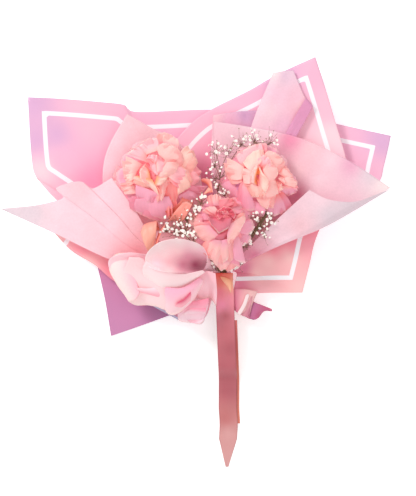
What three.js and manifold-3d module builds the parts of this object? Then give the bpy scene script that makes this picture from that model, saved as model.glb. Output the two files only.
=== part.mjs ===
// A florist's bunch of carnations, lying on its back: four blooms on cut stems, baby's breath,
// bordered wrapping sheets, thin tissue, a ruffled collar and a satin ribbon, tied at one waist.
// Millimetres. +Z is up off the table, +Y runs from the tie towards the blooms, +X is to the right.
// Everything is laid out from the middle of the tie; the last lines move the frame's origin to the
// bottom centre of the whole bunch.
import * as THREE from "three";
import { mergeVertices } from "three/addons/utils/BufferGeometryUtils.js";
import Module from "manifold-3d";

const wasm = await Module();
wasm.setup();

// ---------------------------------------------------------------- driving dimensions
const SPREAD = 258; // from the tie to the tip of the furthest tissue corner, across
const LIFT = 104; // from the table to the top of the rolled collar
const STEM_D = 5; // carnation stem
const SPRAY_STEM_D = 1.8; // baby's breath stem
const STEM_TAIL = 92; // stem length below the tie
const SPRAY_TAIL = 70;
const SHEET_T = 0.8; // wrapping sheet and tissue
const LAYER_GAP = 0.4; // between sheets packed inside the tie
const CLEARANCE = 0.35; // between touching pieces
const LEAD = 3; // how far a gathered sheet runs straight out of the tie
const TIE_T = 0.7; // binding twine band
const TIE_HALF = 3; // half its length along the stems
const RIBBON_W = 21.6;
const RIBBON_T = 0.6;
const WAIST_HALF = 8; // half the length of the ribbon's turn round the waist
const BLOOM_R = { left: 30, right: 25, small: 14, centre: 21 }; // radius of each bloom's heart
const PETAL_T = 1.0;
const FLORET_R = 2.6;
const LOOP_W = 17; // width of the ribbon's coral loops

// ---------------------------------------------------------------- what follows from them
const plan = SPREAD / 258; // outline points are set out for a spread of 258
const rise = LIFT / 104; // and for a height of 104
const SLOT = STEM_D / 2 + CLEARANCE / 2; // stems stand two by two in the tie
const SPRAY_SLOT = SLOT + STEM_D * 0.54;
const TIE_IN = Math.max(SLOT * Math.SQRT2 + STEM_D / 2, SPRAY_SLOT + SPRAY_STEM_D / 2) + CLEARANCE;
const LAYER = (n) => TIE_IN + TIE_T + LAYER_GAP + SHEET_T / 2 + n * (SHEET_T + LAYER_GAP);
const WAIST_IN = LAYER(3) + SHEET_T / 2 + LAYER_GAP;
const WAIST_Z = WAIST_IN + RIBBON_T + 3; // height of the tie's centre above the table
const V = (x, y, z) => new THREE.Vector3(x, y, z);
const at = ([x, y, z]) => V(x * plan, y * plan, z * rise);
const polar = (r, deg, y) =>
  V(r * Math.cos(deg * Math.PI / 180), y, WAIST_Z + r * Math.sin(deg * Math.PI / 180));

const COLOUR = {
  wrap: 0xf7b4cd, wrapBack: 0xc98bb8, tissue: 0xfdd3de, ribbon: 0xbc686c, coral: 0xe5806c,
  petal: 0xf9b9b4, petalDeep: 0xe08a98, stem: 0x6f8f4a, twine: 0xcdb891, floret: 0xf6f2ea,
};
const root = new THREE.Group();

function addMesh(name, geometry, colour, roughness = 0.6) {
  const material = new THREE.MeshStandardMaterial({ color: colour, roughness, metalness: 0 });
  const mesh = new THREE.Mesh(geometry, material);
  mesh.name = name;
  root.add(mesh);
  return mesh;
}

// ---------------------------------------------------------------- sheets
// A smooth line through points, read by its share of the length.
const line = (points) => new THREE.CatmullRomCurve3(points, false, "catmullrom", 0.5);

// Several lines end to end with sharp corners between them: steps + 1 points, corners included.
function broken(parts, steps) {
  const lines = parts.map(line);
  const lengths = lines.map((l) => l.getLength());
  const total = lengths.reduce((a, b) => a + b, 0);
  let left = steps;
  const counts = lengths.map((l, i) => {
    const n = i === lines.length - 1 ? left : Math.max(1, Math.round((steps * l) / total));
    left -= n;
    return n;
  });
  const out = [lines[0].getPointAt(0)];
  lines.forEach((l, i) => {
    for (let k = 1; k <= counts[i]; k++) out.push(l.getPointAt(k / counts[i]));
  });
  return out;
}

// A patch between four edges: near and far run across, left and right run from near to far.
function patch(near, far, left, right) {
  const nu = near.length - 1;
  const nv = left.length - 1;
  const rows = [];
  for (let j = 0; j <= nv; j++) {
    const v = j / nv;
    const row = [];
    for (let i = 0; i <= nu; i++) {
      const u = i / nu;
      const p = near[i].clone().multiplyScalar(1 - v).addScaledVector(far[i], v);
      p.addScaledVector(left[j], 1 - u).addScaledVector(right[j], u);
      p.addScaledVector(near[0], -(1 - u) * (1 - v)).addScaledVector(near[nu], -u * (1 - v));
      p.addScaledVector(far[0], -(1 - u) * v).addScaledVector(far[nu], -u * v);
      row.push(p);
    }
    rows.push(row);
  }
  return rows;
}

// Rows of points made into a closed sheet of thickness t.
function thicken(rows, t) {
  const nv = rows.length;
  const nu = rows[0].length;
  const clampRow = (j) => rows[Math.min(nv - 1, Math.max(0, j))];
  const get = (j, i) => clampRow(j)[Math.min(nu - 1, Math.max(0, i))];
  const position = [];
  for (const side of [0.5, -0.5]) {
    for (let j = 0; j < nv; j++) {
      for (let i = 0; i < nu; i++) {
        const du = get(j, i + 1).clone().sub(get(j, i - 1));
        const dv = get(j + 1, i).clone().sub(get(j - 1, i));
        const n = du.cross(dv).normalize();
        const p = get(j, i).clone().addScaledVector(n, side * t);
        position.push(p.x, p.y, p.z);
      }
    }
  }
  const index = [];
  const quad = (a, b, c, d) => index.push(a, b, c, a, c, d);
  const top = (j, i) => j * nu + i;
  const bottom = (j, i) => nv * nu + j * nu + i;
  for (let j = 0; j < nv - 1; j++) {
    for (let i = 0; i < nu - 1; i++) {
      quad(top(j, i), top(j, i + 1), top(j + 1, i + 1), top(j + 1, i));
      quad(bottom(j, i), bottom(j + 1, i), bottom(j + 1, i + 1), bottom(j, i + 1));
    }
  }
  for (let i = 0; i < nu - 1; i++) {
    quad(bottom(0, i), bottom(0, i + 1), top(0, i + 1), top(0, i));
    quad(top(nv - 1, i), top(nv - 1, i + 1), bottom(nv - 1, i + 1), bottom(nv - 1, i));
  }
  for (let j = 0; j < nv - 1; j++) {
    quad(top(j, 0), top(j + 1, 0), bottom(j + 1, 0), bottom(j, 0));
    quad(bottom(j, nu - 1), bottom(j + 1, nu - 1), top(j + 1, nu - 1), top(j, nu - 1));
  }
  const g = new THREE.BufferGeometry();
  g.setAttribute("position", new THREE.Float32BufferAttribute(position, 3));
  g.setIndex(index);
  g.computeVertexNormals();
  return g;
}

// A sheet that is gathered in the tie. It lies in the tie as an arc on a layer, from one angle to
// another, runs straight out of the upper (+1) or lower (-1) mouth, and opens out to its far edge.
function gathered({ layer, arc, mouth, left, far, right, nu, nv }) {
  const r = LAYER(layer);
  const arcAt = (y) =>
    Array.from({ length: nu + 1 }, (_, i) => polar(r, arc[0] + ((arc[1] - arc[0]) * i) / nu, y));
  const near = arcAt(mouth * (WAIST_HALF + LEAD));
  const farPoints = broken(far.map((part) => part.map(at)), nu);
  const leftLine = line([near[0], ...left.map(at), farPoints[0]]);
  const rightLine = line([near[nu], ...right.map(at), farPoints[nu]]);
  const rows = patch(near, farPoints, leftLine.getSpacedPoints(nv), rightLine.getSpacedPoints(nv));
  return [arcAt(-mouth * (WAIST_HALF - LEAD)), ...rows];
}

// A sheet's corner or pleat that is tucked in beside the tie: four edges, each of one or more lines.
function tucked({ near, left, far, right, nu, nv }) {
  const edge = (parts, n) => broken(parts.map((part) => part.map(at)), n);
  return patch(edge(near, nu), edge(far, nu), edge(left, nv), edge(right, nv));
}

const WRAPS = {
  outer_sheet_left: gathered({
    layer: 2, arc: [186, 272], mouth: 1, nu: 12, nv: 8,
    left: [[-30, 8, 13], [-55, 2, 11], [-86, -5, 11], [-124, -3, 15], [-151, 18, 22], [-178, 35, 28]],
    far: [
      [[-198, 56, 34], [-190, 79, 28], [-183, 95, 24], [-204, 111, 24], [-221, 124, 24],
        [-226, 149, 26], [-229, 216, 36]],
      [[-229, 216, 36], [-192, 215, 27], [-145, 212, 18], [-116, 209, 13], [-102, 201, 9],
        [-20, 204, 6], [22, 201, 6]],
    ],
    right: [[3, 30, 4], [17, 108, 4]],
  }),
  outer_sheet_top_right: gathered({
    layer: 1, arc: [228, 310], mouth: 1, nu: 12, nv: 8,
    left: [[-18, 34, 10], [-44, 72, 11]],
    far: [
      [[-74, 137, 15], [-53, 169, 16], [-32, 191, 14], [-12, 204, 13], [33, 226, 18],
        [65, 244, 23], [110, 264, 32]],
      [[110, 264, 32], [122, 228, 28], [135, 185, 26], [147, 143, 26], [154, 101, 26]],
    ],
    right: [[18, 20, 9], [39, 27, 9], [93, 58, 15]],
  }),
  outer_sheet_far_right: gathered({
    layer: 3, arc: [262, 318], mouth: 1, nu: 9, nv: 7,
    left: [[4, 24, 2], [20, 54, 1], [42, 100, 1]],
    far: [
      [[75, 201, 2], [136, 187, 7], [201, 172, 16]],
      [[201, 172, 16], [193, 137, 14], [186, 116, 13], [155, 90, 11]],
    ],
    right: [[16, 18, 3], [36, 27, 3], [81, 50, 5]],
  }),
  outer_sheet_lower_right: gathered({
    layer: 2, arc: [18, -38], mouth: 1, nu: 9, nv: 8,
    left: [[22, 17, 18], [45, 32, 17], [80, 48, 19]],
    far: [
      [[118, 66, 22], [113, 54, 22], [109, 42, 20], [104, 18, 14], [96, -15, 8]],
      [[96, -15, 8], [57, -15, 14], [25, -16, 20], [13, -16, 25]],
    ],
    right: [[17, 9, 15], [16, 1, 21], [14, -8, 25]],
  }),
  outer_sheet_lower_left: gathered({
    layer: 3, arc: [194, 242], mouth: -1, nu: 9, nv: 7,
    left: [[-22, -12, 8], [-34, -8, 6], [-60, 0, 5], [-100, 12, 5]],
    far: [
      [[-149, 19, 7], [-148, 12, 6], [-140, -24, 4], [-133, -67, 1]],
      [[-133, -67, 1], [-98, -55, 1], [-62, -42, 2], [-23, -27, 4]],
    ],
    right: [[-13, -17, 6]],
  }),
  outer_sheet_tail: tucked({
    nu: 4, nv: 12,
    near: [[[12, -34, 22], [12, -26, 21], [13, -19, 21]]],
    left: [[[12, -34, 22], [22, -40, 28], [29, -44, 26], [34, -46, 20], [42, -44, 14],
      [50, -37, 13], [59, -37, 18]]],
    far: [[[59, -37, 18], [59, -35.5, 18], [59, -34, 18]]],
    right: [[[13, -19, 21], [25, -19, 25], [36, -19, 26], [34, -21, 20], [39, -26, 14],
      [48, -30, 13], [59, -34, 18]]],
  }),
  outer_sheet_under_collar: tucked({
    nu: 7, nv: 5,
    near: [[[-22, -50, 12], [-21, -32, 12], [-21, -12, 14], [-18, 9, 18]]],
    left: [[[-22, -50, 12], [-49, -49, 14]]],
    far: [[[-49, -49, 14], [-68, -39, 15], [-86, -28, 17], [-106, -8, 20]]],
    right: [[[-18, 9, 18], [-40, 4, 17], [-62, -2, 17.5], [-106, -8, 20]]],
  }),
  tissue_back_left: gathered({
    layer: 0, arc: [172, 226], mouth: 1, nu: 9, nv: 7,
    left: [[-44, 30, 22], [-85, 54, 28]],
    far: [
      [[-141, 107, 36], [-140, 136, 37], [-132, 162, 38], [-112, 196, 40]],
      [[-112, 196, 40], [-83, 180, 32], [-52, 164, 26], [-26, 125, 22]],
    ],
    right: [[-11, 36, 17], [-17, 72, 20]],
  }),
  tissue_left: gathered({
    layer: 1, arc: [170, 147], mouth: 1, nu: 12, nv: 8,
    left: [[-24, 10, 22], [-44, 8, 27], [-85, 15, 34], [-132, 25, 42], [-199, 57, 52]],
    far: [[[-258, 84, 64], [-218, 88, 59], [-186, 97, 54], [-194, 108, 60], [-166, 116, 62],
      [-152, 108, 54], [-129, 120, 58]]],
    right: [[-26, 19, 26], [-62, 34, 34], [-85, 54, 43], [-102, 83, 52]],
  }),
  tissue_back_middle: gathered({
    layer: 0, arc: [258, 306], mouth: 1, nu: 6, nv: 7,
    left: [[-6, 60, 14], [-13, 137, 17]],
    far: [[[-11, 196, 21], [15, 200, 22], [47, 202, 23]]],
    right: [[12, 30, 11], [24, 54, 13], [47, 107, 17], [50, 155, 20]],
  }),
  tissue_pleat: tucked({
    nu: 6, nv: 6,
    near: [[[21, 119, 24], [54, 133, 24]]],
    left: [[[21, 119, 24], [35, 184, 28], [60, 245, 31]]],
    far: [
      [[60, 245, 31], [72, 247, 34], [84, 248, 33]],
      [[84, 248, 33], [98, 216, 30], [107, 205, 30]],
    ],
    right: [[[54, 133, 24], [80, 160, 28], [107, 205, 30]]],
  }),
  tissue_back_right: gathered({
    layer: 0, arc: [-46, 14], mouth: 1, nu: 9, nv: 8,
    left: [[3, 34, 16], [-4, 72, 20], [-10, 131, 26]],
    far: [
      [[-10, 188, 30], [28, 182, 32], [89, 169, 35], [146, 143, 38], [197, 109, 45]],
      [[197, 109, 45], [150, 81, 38], [118, 64, 34]],
    ],
    right: [[24, 20, 22], [62, 39, 28]],
  }),
  tissue_right_fold: gathered({
    layer: 3, arc: [62, 34], mouth: 1, nu: 6, nv: 9,
    left: [[21, 29, 38], [61, 69, 54]],
    far: [[[101, 106, 62], [124, 95, 58], [157, 93, 54], [196, 107, 49]]],
    right: [[27, 22, 33], [68, 41, 38], [117, 61, 41], [150, 79, 44]],
  }),
  collar_roll: gathered({
    layer: 2, arc: [142, 106], mouth: 1, nu: 16, nv: 5,
    left: [],
    far: [[[-24, 10, 60], [-18, 22, 74], [-20, 36, 88], [-30, 44, 98], [-49, 49, 104],
      [-69, 46, 102], [-84, 36, 94], [-89, 25, 88], [-83, 16, 92], [-62, 11, 98],
      [-40, 10, 94], [-25, 12, 80]]],
    right: [],
  }),
  collar_ruffle: gathered({
    layer: 3, arc: [168, 122], mouth: -1, nu: 26, nv: 4,
    left: [[-24, -2, 32], [-46, 12, 50]],
    far: [[[-89, 31, 70], [-113, 33, 72], [-130, 27, 60], [-133, 16, 50], [-121, -5, 40],
      [-108, -27, 32], [-89, -28, 38], [-78, -21, 30], [-67, -27, 44], [-61, -36, 54],
      [-50, -38, 52], [-40, -31, 44], [-45, -40, 40], [-38, -49, 42], [-26, -50, 46],
      [-18, -39, 44], [-14, -24, 40]]],
    right: [],
  }),
};
for (const [name, rows] of Object.entries(WRAPS)) {
  const back = name === "outer_sheet_lower_left";
  const colour = /^outer/.test(name) ? (back ? COLOUR.wrapBack : COLOUR.wrap) : COLOUR.tissue;
  addMesh(name, thicken(rows, SHEET_T), colour, 0.55);
}

// ---------------------------------------------------------------- blooms
// Each bloom stands on its own axis: its heart in the middle, outer petals round it, and a calyx
// under it that its stem meets.
function bloomFrame(centre, facing) {
  const w = V(...facing).normalize();
  const frame = new THREE.Group();
  frame.quaternion.setFromUnitVectors(V(0, 0, 1), w);
  frame.position.copy(at(centre));
  root.add(frame);
  return { frame, w, base: frame.position };
}

function heartGeometry(r) {
  const profile = [[0, -0.5], [0.35, -0.42], [0.75, -0.15], [1, 0.18], [0.9, 0.48], [0.5, 0.68], [0, 0.6]];
  const g = new THREE.LatheGeometry(profile.map(([x, y]) => new THREE.Vector2(x * r, y * r)), 14);
  g.rotateX(Math.PI / 2);
  const p = g.attributes.position;
  for (let i = 0; i < p.count; i++) {
    const a = Math.atan2(p.getY(i), p.getX(i));
    const ruffle = 1 + 0.07 * Math.cos(7 * a);
    p.setXYZ(i, p.getX(i) * ruffle, p.getY(i) * ruffle, p.getZ(i));
  }
  return g;
}

// A petal grows from the calyx, passes outside the heart and turns back at its tip.
function petalGeometry(r, { turn, reach = 1, wide = 1, low = 0, droop = 0 }) {
  const path = line([
    V(0.26 * r, 0, (-0.68 - low) * r),
    V(0.6 * r, 0, (-0.56 - low) * r),
    V(0.98 * r, 0, (-0.2 - low) * r),
    V(1.25 * r * reach, 0, (-0.04 - low - droop * 0.4) * r),
    V(1.55 * r * reach, 0, (-0.3 - low - droop) * r),
  ]);
  const along = 6;
  const across = 4;
  const rows = [];
  for (let j = 0; j <= along; j++) {
    const t = j / along;
    const c = path.getPointAt(t);
    const half = r * wide * (0.07 + 0.5 * Math.sin(Math.PI * Math.min(1, t * 0.88)) ** 0.8);
    const row = [];
    for (let i = 0; i <= across; i++) {
      const s = (2 * i) / across - 1;
      const cup = 0.1 * r * s * s * Math.sin(Math.PI * t);
      row.push(V(c.x - 0.12 * r * s * s * t, s * half, c.z + cup));
    }
    rows.push(row);
  }
  const g = thicken(rows, PETAL_T);
  g.rotateZ((turn * Math.PI) / 180);
  return g;
}

function calyxGeometry(r) {
  const top = -0.78 * r;
  const size = 0.2 * r;
  const profile = [[0, top - 2.4 * size], [0.5 * size, top - 2.3 * size], [0.9 * size, top - size],
    [1.1 * size, top], [0, top]];
  const g = new THREE.LatheGeometry(profile.map(([x, y]) => new THREE.Vector2(x, y)), 10);
  g.rotateX(Math.PI / 2);
  return g;
}

const BLOOMS = [
  {
    name: "left_bloom", r: BLOOM_R.left, centre: [-72, 121, 88], facing: [-0.2, 0.42, 0.88], slot: [-1, 1],
    bend: [[-8, 28, 30], [-34, 62, 46]],
    petals: [{ turn: 200, low: 0.12 }, { turn: 262, reach: 1.1 }, { turn: 318, low: 0.12 },
      { turn: 20 }, { turn: 80, low: 0.12 }, { turn: 140 }],
  },
  {
    name: "right_bloom", r: BLOOM_R.right, centre: [38, 123, 86], facing: [0.06, 0.42, 0.9], slot: [-1, -1],
    bend: [[3, 28, 24], [14, 60, 37]],
    petals: [{ turn: 60 }, { turn: 118, low: 0.12 }, { turn: 178 }, { turn: 238, low: 0.12, reach: 1.05 },
      { turn: 296, reach: 1.15 }],
  },
  {
    name: "small_bloom", r: BLOOM_R.small, centre: [80, 117, 62], facing: [0.4, 0.25, 0.88], slot: [1, -1],
    bend: [[11, 27, 22], [36, 54, 36]],
    petals: [{ turn: 10 }, { turn: 95, low: 0.12 }, { turn: 285, low: 0.12 }],
  },
  {
    name: "centre_bloom", r: BLOOM_R.centre, centre: [2, 70, 96], facing: [0, 0.34, 0.94], slot: [1, 1],
    bend: [[4, 24, 30], [3, 36, 44]],
    petals: [{ turn: 30 }, { turn: 95, low: 0.14 }, { turn: 155 }, { turn: 213, low: 0.14, reach: 1.1 },
      { turn: 270, reach: 1.55, droop: 0.5 }, { turn: 326, low: 0.14, reach: 1.15 }],
  },
];

// A round stem along a line of points.
function stemGeometry(points, d, steps, quarter) {
  const shape = new THREE.Shape();
  shape.absarc(0, 0, d / 2, 0, 2 * Math.PI);
  const g = new THREE.ExtrudeGeometry(shape, {
    steps, curveSegments: quarter, bevelEnabled: false,
    extrudePath: new THREE.CatmullRomCurve3(points, false, "centripetal"),
  });
  g.deleteAttribute("uv");
  return g;
}

const TAIL_LEAN = 0.05; // the stems' cut ends lie a little to the right, under the ribbon
const inTie = (sx, sz, tail) => [
  V(sx, WAIST_HALF + 7, WAIST_Z + sz), V(sx, WAIST_HALF + 2, WAIST_Z + sz), V(sx, 0, WAIST_Z + sz),
  V(sx, -WAIST_HALF, WAIST_Z + sz), V(sx, -WAIST_HALF - 8, WAIST_Z + sz),
  V(sx + TAIL_LEAN * tail * 0.4, -tail / 2, WAIST_Z + sz), V(sx + TAIL_LEAN * tail, -tail, WAIST_Z + sz),
];

for (const b of BLOOMS) {
  const { frame, w, base } = bloomFrame(b.centre, b.facing);
  const add = (name, g, colour) => {
    const mesh = addMesh(name, g, colour);
    frame.add(mesh);
  };
  add(`${b.name}_heart`, heartGeometry(b.r), COLOUR.petal);
  b.petals.forEach((p, i) => add(`${b.name}_petal_${i + 1}`, petalGeometry(b.r, p), COLOUR.petalDeep));
  add(`${b.name}_calyx`, calyxGeometry(b.r), COLOUR.stem);
  const foot = base.clone().addScaledVector(w, -1.26 * b.r - CLEARANCE);
  const under = foot.clone().addScaledVector(w, -0.35 * b.r);
  const bend = b.bend.map(at).reverse();
  const path = [foot, under, ...bend, ...inTie(b.slot[0] * SLOT, b.slot[1] * SLOT, STEM_TAIL)];
  addMesh(`${b.name}_stem`, stemGeometry(path, STEM_D, 16, 4), COLOUR.stem);
}

// ---------------------------------------------------------------- baby's breath
const tidy = (g) => {
  const bare = new THREE.BufferGeometry();
  bare.setAttribute("position", g.index ? g.toNonIndexed().attributes.position : g.attributes.position);
  return mergeVertices(bare, 1e-4);
};
function toSolid(g) {
  const m = tidy(g);
  return new wasm.Manifold(new wasm.Mesh({
    numProp: 3, vertProperties: m.attributes.position.array, triVerts: new Uint32Array(m.index.array),
  }));
}
function fromSolid(solid) {
  const m = solid.getMesh();
  const g = new THREE.BufferGeometry();
  g.setAttribute("position", new THREE.Float32BufferAttribute(Float32Array.from(m.vertProperties), 3));
  g.setIndex(Array.from(m.triVerts));
  return g;
}
// A thin twig between two points, pushed a little into both ends.
function twig(a, b, d) {
  const dir = b.clone().sub(a);
  const g = new THREE.CylinderGeometry(d * 0.4, d / 2, dir.length() + d * 0.4, 3);
  g.applyQuaternion(new THREE.Quaternion().setFromUnitVectors(V(0, 1, 0), dir.clone().normalize()));
  g.translate(...a.clone().add(b).multiplyScalar(0.5).toArray());
  return g;
}

const SPRAYS = [
  {
    name: "babys_breath_top", slot: [0, -1], trunk: [[-4, 30, 17], [-7, 58, 28], [-6, 95, 42]],
    forks: [
      { from: [0, 118, 50], tips: [[-10, 136, 62], [-9, 153, 66], [2, 134, 70]] },
      { from: [4, 140, 56], tips: [[6, 154, 70], [16, 162, 70], [-4, 164, 62]] },
      { from: [26, 160, 50], tips: [[28, 169, 66], [42, 174, 62], [56, 168, 58]] },
    ],
  },
  {
    name: "babys_breath_left", slot: [-1, 0], trunk: [[-15, 24, 25], [-27, 36, 38], [-36, 46, 48]],
    forks: [
      { from: [-46, 56, 58], tips: [[-60, 56, 74], [-66, 66, 70], [-54, 70, 78]] },
      { from: [-36, 58, 60], tips: [[-40, 66, 80], [-32, 56, 84], [-30, 76, 78]] },
    ],
  },
  {
    name: "babys_breath_right", slot: [1, 0], trunk: [[10, 21, 30], [21, 34, 37], [30, 46, 42]],
    forks: [
      { from: [40, 58, 44], tips: [[34, 56, 60], [44, 72, 58], [52, 70, 62]] },
      { from: [50, 70, 46], tips: [[60, 82, 60], [58, 92, 54]] },
    ],
  },
  {
    name: "babys_breath_front", slot: [0, 1], trunk: [[-2, 20, 34]],
    forks: [
      { from: [-3, 26, 44], tips: [[-4, 24, 54], [-9, 36, 60]] },
      { from: [6, 22, 42], tips: [[10, 18, 52], [17, 20, 50]] },
    ],
  },
];
for (const s of SPRAYS) {
  const trunk = s.trunk.map(at);
  const end = trunk[trunk.length - 1];
  const path = [end, ...trunk.slice(0, -1).reverse(),
    ...inTie(s.slot[0] * SPRAY_SLOT, s.slot[1] * SPRAY_SLOT, SPRAY_TAIL)];
  let solid = toSolid(stemGeometry(path, SPRAY_STEM_D, 10, 2));
  for (const fork of s.forks) {
    const knot = at(fork.from);
    solid = solid.add(toSolid(twig(end, knot, SPRAY_STEM_D * 0.9)));
    for (const tip of fork.tips.map(at)) {
      solid = solid.add(toSolid(twig(knot, tip, SPRAY_STEM_D * 0.7)));
      const floret = new THREE.OctahedronGeometry(FLORET_R);
      floret.translate(tip.x, tip.y, tip.z);
      solid = solid.add(toSolid(floret));
    }
  }
  addMesh(s.name, fromSolid(solid), COLOUR.floret, 0.8);
}

// ---------------------------------------------------------------- tie and ribbon
// A short band round the waist: a ring of thickness t about the tie's axis.
function band(inner, t, half, sides) {
  const profile = [[inner, -half], [inner + t, -half], [inner + t, half], [inner, half], [inner, -half]];
  const g = new THREE.LatheGeometry(profile.map(([x, y]) => new THREE.Vector2(x, y)), sides);
  g.translate(0, 0, WAIST_Z);
  return g;
}
addMesh("stem_tie", band(TIE_IN, TIE_T, TIE_HALF, 24), COLOUR.twine, 0.8);
addMesh("ribbon_waist", band(WAIST_IN, RIBBON_T, WAIST_HALF, 32), COLOUR.ribbon, 0.35);

// A ribbon along a path, its width along a side direction at each point.
function ribbonRows(points, sides, width, steps) {
  const path = line(points);
  const side = line(sides);
  return Array.from({ length: steps + 1 }, (_, j) => {
    const c = path.getPointAt(j / steps);
    const s = side.getPoint(j / steps).normalize();
    return [-0.5, 0, 0.5].map((k) => c.clone().addScaledVector(s, k * width));
  });
}
const FRONT_Z = WAIST_Z + WAIST_IN + RIBBON_T + CLEARANCE + RIBBON_T / 2; // on top of the waist turn
const BACK_DROP = RIBBON_T + 4 * CLEARANCE; // the back tail lies this much under the front one
const OVER_STEMS = WAIST_Z + SLOT + STEM_D / 2 + BACK_DROP + 2;
const TAIL_END = -224 * plan;
const level = V(1, 0, 0);
const frontPath = [
  V(2, 9, FRONT_Z), V(2, -2, FRONT_Z), V(3, -14, FRONT_Z), V(4, -47, FRONT_Z - 2),
  V(6, -STEM_TAIL - 4, OVER_STEMS), V(7, -STEM_TAIL - 26, BACK_DROP + 4),
  V(7, -STEM_TAIL - 40, BACK_DROP + RIBBON_T / 2 + 0.6), V(7, -STEM_TAIL - 52, BACK_DROP + RIBBON_T / 2 + 0.1),
  V(7, -STEM_TAIL - 62, BACK_DROP + RIBBON_T / 2), V(8, -STEM_TAIL - 80, BACK_DROP + RIBBON_T / 2),
  V(7.6, -STEM_TAIL - 91, RIBBON_T / 2 + 0.3), V(7.2, -STEM_TAIL - 99, RIBBON_T / 2 + 0.04),
  V(7, -STEM_TAIL - 106, RIBBON_T / 2), V(6.5, -STEM_TAIL - 118, RIBBON_T / 2),
  V(6, TAIL_END, RIBBON_T / 2),
];
function pointed(rows, from) {
  const last = rows.length - 1;
  rows.forEach((row, j) => {
    const t = Math.max(0, (j / last - from) / (1 - from));
    const mid = row[1].clone();
    row.forEach((p) => p.lerp(mid, t * 0.85));
  });
  return rows;
}
addMesh("ribbon_front_tail", thicken(pointed(ribbonRows(frontPath, [level, level], RIBBON_W, 22), 0.85), RIBBON_T),
  COLOUR.ribbon, 0.35);
const backPath = frontPath.slice(3, -5).map((p) => V(p.x + 5, p.y, p.z - BACK_DROP));
addMesh("ribbon_back_tail", thicken(ribbonRows(backPath, [level, level], RIBBON_W * 0.8, 16), RIBBON_T),
  COLOUR.ribbon, 0.35);

const LOOPS = {
  ribbon_loop_left: {
    path: [[-66, 30, 62], [-84, 34, 62], [-95, 50, 66], [-90, 66, 70], [-76, 70, 68]],
    side: [[-0.3, -0.5, 1], [-0.5, -0.2, 1], [-0.8, 0.1, 1], [-0.6, 0.5, 1], [-0.2, 0.7, 1]],
  },
  ribbon_loop_middle: {
    path: [[-64, 76, 62], [-52, 80, 66], [-42, 90, 66], [-40, 100, 58]],
    side: [[-0.3, 0.6, 0.8], [-0.3, 0.8, 0.6], [-0.7, 0.6, 0.6], [-1, 0.3, 0.5]],
  },
};
for (const [name, l] of Object.entries(LOOPS)) {
  const rows = ribbonRows(l.path.map(at), l.side.map((s) => V(...s)), LOOP_W, 10);
  addMesh(name, thicken(rows, RIBBON_T), COLOUR.coral, 0.35);
}

// ---------------------------------------------------------------- the frame's origin
const box = new THREE.Box3().setFromObject(root, true);
const middle = box.getCenter(V(0, 0, 0));
root.position.set(-middle.x, -middle.y, -box.min.z);

export default root;
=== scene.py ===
"""A florist's bunch of carnations lying on its back, seen from straight above.

Lengths are millimetres measured from the middle of the tie: X to the right, Y from the tie towards
the blooms and Z up from the table. Placement turns them into the row frame's metres.
"""

import logging  # noqa: E402
import math  # noqa: E402
from dataclasses import dataclass, replace  # noqa: E402
from enum import Enum  # noqa: E402

import bpy  # noqa: E402
import numpy as np  # noqa: E402
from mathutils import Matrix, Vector  # noqa: E402


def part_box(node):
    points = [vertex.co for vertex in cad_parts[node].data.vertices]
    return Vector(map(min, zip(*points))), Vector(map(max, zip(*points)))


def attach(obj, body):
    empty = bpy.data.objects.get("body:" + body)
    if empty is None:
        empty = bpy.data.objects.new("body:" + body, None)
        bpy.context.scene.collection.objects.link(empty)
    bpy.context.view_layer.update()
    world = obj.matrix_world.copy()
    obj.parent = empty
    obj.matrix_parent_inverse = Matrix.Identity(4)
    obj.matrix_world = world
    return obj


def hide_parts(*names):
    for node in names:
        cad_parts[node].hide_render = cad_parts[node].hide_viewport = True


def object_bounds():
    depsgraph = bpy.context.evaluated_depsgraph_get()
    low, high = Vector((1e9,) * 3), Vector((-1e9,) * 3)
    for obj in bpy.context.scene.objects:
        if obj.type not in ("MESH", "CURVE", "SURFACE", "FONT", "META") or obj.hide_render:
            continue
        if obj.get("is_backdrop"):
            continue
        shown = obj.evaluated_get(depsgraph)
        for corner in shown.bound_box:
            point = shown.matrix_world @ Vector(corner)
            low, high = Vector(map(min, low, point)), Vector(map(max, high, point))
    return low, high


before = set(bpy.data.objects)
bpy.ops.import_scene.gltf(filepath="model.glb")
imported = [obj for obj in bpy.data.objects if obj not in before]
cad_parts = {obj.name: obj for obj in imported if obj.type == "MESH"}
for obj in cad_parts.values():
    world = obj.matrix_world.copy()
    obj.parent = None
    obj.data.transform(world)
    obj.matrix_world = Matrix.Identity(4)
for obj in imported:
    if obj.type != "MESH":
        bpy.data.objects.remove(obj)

LOG = logging.getLogger("bunch")
Point = tuple[float, float, float]
Line = tuple[Point, ...]
RGB = tuple[int, int, int]
XY = tuple[float, float]
MM = 0.001
TINY = 1e-9

# Height of the tie's middle above the table, in millimetres.
WAIST_Z = 16.13


# ------------------------------------------------------------------ colour and place
def linear(rgb: RGB) -> tuple[float, float, float]:
    """Turns a display colour into scene-linear light.

    Args:
        rgb: red, green and blue from 0 to 255.

    Returns:
        The three linear values from 0 to 1.
    """
    c = np.asarray(rgb, float) / 255.0
    low, high = c / 12.92, ((c + 0.055) / 1.055) ** 2.4
    return tuple(float(v) for v in np.where(c <= 0.04045, low, high))


@dataclass(frozen=True)
class Placement:
    """Where the tie's middle stands in the row frame, in millimetres."""

    x: float
    y: float
    z: float

    @staticmethod
    def from_frame() -> "Placement":
        """Reads the tie's place off the frame.

        Returns:
            The placement whose waist is the middle of the twine.
        """
        low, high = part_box("stem_tie")
        middle = (low + high) / 2 / MM
        return Placement(middle.x, middle.y, middle.z - WAIST_Z)

    def metres(self, points: np.ndarray) -> np.ndarray:
        """Turns tie millimetres into row metres.

        Args:
            points: an array of points, three to a row.

        Returns:
            The same points in metres in the row frame.
        """
        return (points + np.array([self.x, self.y, self.z])) * MM


PLACE = Placement.from_frame()


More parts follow.
